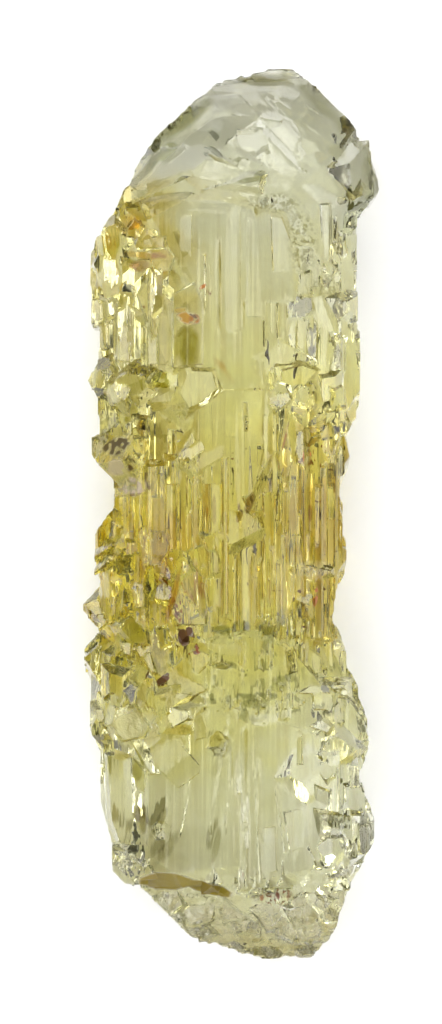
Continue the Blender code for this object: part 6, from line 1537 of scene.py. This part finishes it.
def platelet(bm, centre, across, length, thick, turn, tip, r):
    """A thin ragged plate: a prism with an irregular outline."""
    count = 9
    ring = []
    for i in range(count):
        a = i / count * math.tau
        q = r.uniform(.72, 1.0)
        ring.append(Vector((math.cos(a) * across / 2 * q, math.sin(a) * length / 2 * q, 0)))
    spin = Euler((tip[0], tip[1], turn)).to_matrix()
    c = Vector((X(centre[0]), Y(centre[1]), centre[2]))
    top = [bm.verts.new((c + spin @ (p + Vector((0, 0, thick / 2)))) * MM) for p in ring]
    low = [bm.verts.new((c + spin @ (p * .96 - Vector((0, 0, thick / 2)))) * MM) for p in ring]
    bm.faces.new(top)
    bm.faces.new(low[::-1])
    for i in range(count):
        j = (i + 1) % count
        bm.faces.new((top[i], low[i], low[j], top[j]))


def needle(bm, start, end, radius, r, sides=6, rings=7):
    """A hollow or filled tube: a thin tapering rod with a slight waver."""
    a = Vector((X(start[0]), Y(start[1]), start[2]))
    b = Vector((X(end[0]), Y(end[1]), end[2]))
    way = (b - a).normalized()
    side = way.orthogonal().normalized()
    up = way.cross(side)
    last = None
    first = None
    for k in range(rings):
        t = k / (rings - 1)
        c = a.lerp(b, t) + side * r.normal(0, radius * .35) + up * r.normal(0, radius * .35)
        q = radius * (.45 + .55 * math.sin(math.pi * min(1, .15 + t * .8))) * r.uniform(.8, 1.1)
        ring = [bm.verts.new((c + (side * math.cos(i / sides * math.tau) + up * math.sin(i / sides * math.tau)) * q) * MM) for i in range(sides)]
        if last:
            for i in range(sides):
                j = (i + 1) % sides
                bm.faces.new((last[i], last[j], ring[j], ring[i]))
        else:
            first = ring
        last = ring
    bm.faces.new(first[::-1])
    bm.faces.new(last)


def make_inclusions():
    r = np.random.default_rng(7)
    brown = mineral_material("ironstone", (.06, .018, .004), (.22, .09, .02), .35)
    rust = mineral_material("rust_film", (.16, .05, .003), (.36, .14, .008), .6, 1800)
    dark = mineral_material("dark_tube", (.05, .04, .012), (.16, .11, .04), .4, 3000)

    bm = bmesh.new()
    platelet(bm, (18.2, 63.3, 17.9), 1.9, 1.7, .16, .5, (.2, .35), r)
    platelet(bm, (18.6, 63.9, 17.8), 1.2, 1.0, .14, 1.4, (.1, -.3), r)
    platelet(bm, (16.3, 67.7, 18.0), 1.7, 1.0, .16, .6, (.3, .2), r)
    platelet(bm, (12.7, 56.6, 14.0), .8, .5, .1, .2, (.3, .2), r)
    for u, v, w, h in ((24.4, 58.3, .28, .4), (29.8, 59.0, .45, .6), (29.2, 59.8, .4, .5), (30.3, 62.6, .3, .3), (31.0, 52.6, .4, .5), (32.2, 58.8, .3, .6), (27.9, 55.6, .22, .4), (26.4, 48.0, .2, .3), (30.0, 51.2, .24, .3), (31.8, 50.2, .2, .24)):
        platelet(bm, (u, v, 16.6 + r.uniform(-1, .8)), w, h, .1, r.uniform(0, 3), (r.uniform(-.3, .3), r.uniform(-.3, .3)), r)
    for _ in range(90):
        u, v = r.uniform(13, 33.4), r.uniform(44, 66)
        if r.random() < .4:
            u = r.uniform(27, 33.5)
        size = r.uniform(.06, .2)
        platelet(bm, (u, v, r.uniform(3, 17)), size, size * r.uniform(.8, 1.6), .04, r.uniform(0, 3), (r.uniform(-.5, .5), r.uniform(-.5, .5)), r)
    new_piece("brown_platelets", bm, brown)

    bm = bmesh.new()
    platelet(bm, (19.7, 64.6, 18.2), .5, 1.1, .08, .2, (.1, .3), r)
    for _ in range(34):
        t = r.uniform(0, 1)
        u, v = 16.7 + 1.7 * t + r.normal(0, .22), 56.0 + 6.4 * t + r.normal(0, .4)
        platelet(bm, (u, v, 17.4 + r.normal(0, .35)), r.uniform(.12, .42), r.uniform(.3, 1.0), .04, r.normal(.30, .3), (r.normal(0, .3), r.normal(0, .3)), r)
    for _ in range(8):
        platelet(bm, (19.0 + r.normal(0, .8), 31.8 + r.normal(0, .35), 18.6 + r.normal(0, .25)), r.uniform(.2, .7), r.uniform(.2, .5), .04, r.uniform(0, 3), (r.normal(0, .3), r.normal(0, .3)), r)
    for _ in range(14):
        platelet(bm, (27.6 + r.normal(0, .9), 89.0 + r.normal(0, .5), 15.2 + r.normal(0, .3)), r.uniform(.12, .3), r.uniform(.3, .8), .04, r.normal(0, .2), (r.normal(0, .3), r.normal(0, .3)), r)
    for _ in range(12):
        platelet(bm, (30.6 + r.normal(0, .5), 46.0 + r.normal(0, .5), 17.0 + r.normal(0, .2)), r.uniform(.12, .34), r.uniform(.3, .8), .04, r.normal(0, .2), (r.normal(0, .3), r.normal(0, .3)), r)
    new_piece("rust_flakes", bm, rust)

    bm = bmesh.new()
    needle(bm, (29.6, 35.6, 18.9), (28.9, 38.2, 18.2), .14, r)
    needle(bm, (26.5, 34.2, 18.6), (26.8, 36.8, 18.6), .16, r)
    needle(bm, (25.3, 54.0, 17.6), (25.4, 55.4, 17.6), .2, r)
    needle(bm, (22.7, 56.0, 17.2), (22.9, 60.5, 17.2), .09, r)
    needle(bm, (27.7, 49.0, 18.0), (27.4, 52.4, 17.8), .12, r)
    for _ in range(70):
        u = r.uniform(13.5, 33)
        v = r.uniform(40, 62)
        length = r.uniform(1.0, 6.5)
        z = r.uniform(3, 16.5)
        needle(bm, (u, v, z), (u + r.normal(0, .06), v + length, z + r.normal(0, .06)), r.uniform(.02, .06), r, 5, 4)
    new_piece("growth_tubes", bm, dark)
    say("inclusions")


# ---------------------------------------------------------------------------------------------------------------
# Studio
# ---------------------------------------------------------------------------------------------------------------

FLOOR = dict(metal=.5, rough=.5, base=.95, emission=0.0)
WORLD = [(0.0, (.42, .415, .35)), (.12, (.30, .29, .18)), (.22, (.125, .12, .05)), (.60, (.14, .135, .06)), (1.0, (.2, .2, .17))]
PATCHES = [((0, 0, 1), 36, 8, 2.35), ((0, 0, 1), 11, 4, .35), ((-.62, .42, .66), 15, 4, 5.0), ((.78, -.12, .62), 14, 4, 3.5), ((.05, .93, .36), 13, 4, 4.0), ((-.25, -.85, .5), 12, 4, 2.5)]
BOUNCES = (9, 8, 3, 1)


def make_studio():
    floor_mesh = bpy.data.meshes.new("floor")
    bm = bmesh.new()
    bmesh.ops.create_grid(bm, x_segments=1, y_segments=1, size=1.2)
    bm.to_mesh(floor_mesh)
    bm.free()
    floor = bpy.data.objects.new("floor", floor_mesh)
    floor.location.z = -.00004
    bpy.context.scene.collection.objects.link(floor)
    n = Nodes("paper")
    here = n.node("ShaderNodeTexCoord").outputs["Object"]
    b = FLOOR["base"]
    tone = n.mix(n.noise(here, 900, 3), (b - .02, b - .02, b - .02, 1), (b, b, b, 1))
    paper = n.node("ShaderNodeBsdfPrincipled")
    n.feed(paper.inputs["Base Color"], tone)
    paper.inputs["Roughness"].default_value = FLOOR["rough"]
    paper.inputs["Metallic"].default_value = FLOOR["metal"]
    paper.inputs["Specular IOR Level"].default_value = .5
    paper.inputs["Emission Color"].default_value = (1, 1, 1, 1)
    paper.inputs["Emission Strength"].default_value = FLOOR["emission"]
    n.tree.links.new(paper.outputs[0], n.out.inputs["Surface"])
    floor_mesh.materials.append(n.material)

    world = bpy.data.worlds.new("studio")
    bpy.context.scene.world = world
    world.use_nodes = True
    n = Nodes.__new__(Nodes)
    n.tree = world.node_tree
    n.tree.nodes.clear()
    out = n.node("ShaderNodeOutputWorld")
    way = n.node("ShaderNodeTexCoord").outputs["Generated"]
    split = n.node("ShaderNodeSeparateXYZ", inputs={"Vector": way})
    ramp_node = n.node("ShaderNodeValToRGB", inputs={"Fac": split.outputs["Z"]})
    elements = ramp_node.color_ramp.elements
    while len(elements) < len(WORLD):
        elements.new(.5)
    for e, (at, value) in zip(elements, WORLD):
        e.position = at
        e.color = (*value, 1)
    light = ramp_node.outputs["Color"]
    for direction, radius, soft, value in PATCHES:
        d = Vector(direction).normalized()
        near = n.vector("DOT_PRODUCT", way, tuple(d))
        factor = n.fall(near, math.cos(math.radians(radius + soft)), math.cos(math.radians(max(radius - soft, 0))))
        light = n.mix(factor, light, (value, value, value * 1.01, 1))
    back = n.node("ShaderNodeBackground", inputs={"Color": light, "Strength": 1.0})
    n.tree.links.new(back.outputs[0], out.inputs[0])

    cam = bpy.data.cameras.new("camera")
    cam.type = "PERSP"
    cam.lens = 150
    cam.sensor_width = 36
    cam.sensor_fit = "AUTO"
    distance = .1024 / 36 * 150
    eye = bpy.data.objects.new("camera", cam)
    eye.location = (X(22.1) * MM, Y(51.2) * MM, .0120 + distance)
    eye.rotation_euler = (0, 0, 0)
    cam.clip_start, cam.clip_end = .01, 20
    bpy.context.scene.collection.objects.link(eye)
    bpy.context.scene.camera = eye

    scene = bpy.context.scene
    scene.view_settings.view_transform = "Standard"
    scene.view_settings.look = "None"
    scene.view_settings.exposure = 0
    scene.cycles.max_bounces, scene.cycles.transmission_bounces, scene.cycles.glossy_bounces, scene.cycles.diffuse_bounces = BOUNCES
    scene.cycles.transparent_max_bounces = 8
    scene.cycles.sample_clamp_indirect = 5
    scene.cycles.blur_glossy = .3
    scene.cycles.use_adaptive_sampling = True
    scene.cycles.adaptive_threshold = .3
crystal = make_crystal()
crystal.data.materials.clear()
crystal.data.materials.append(heliodor_material())
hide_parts(NODE)
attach(crystal, "root")
make_inclusions()
make_studio()
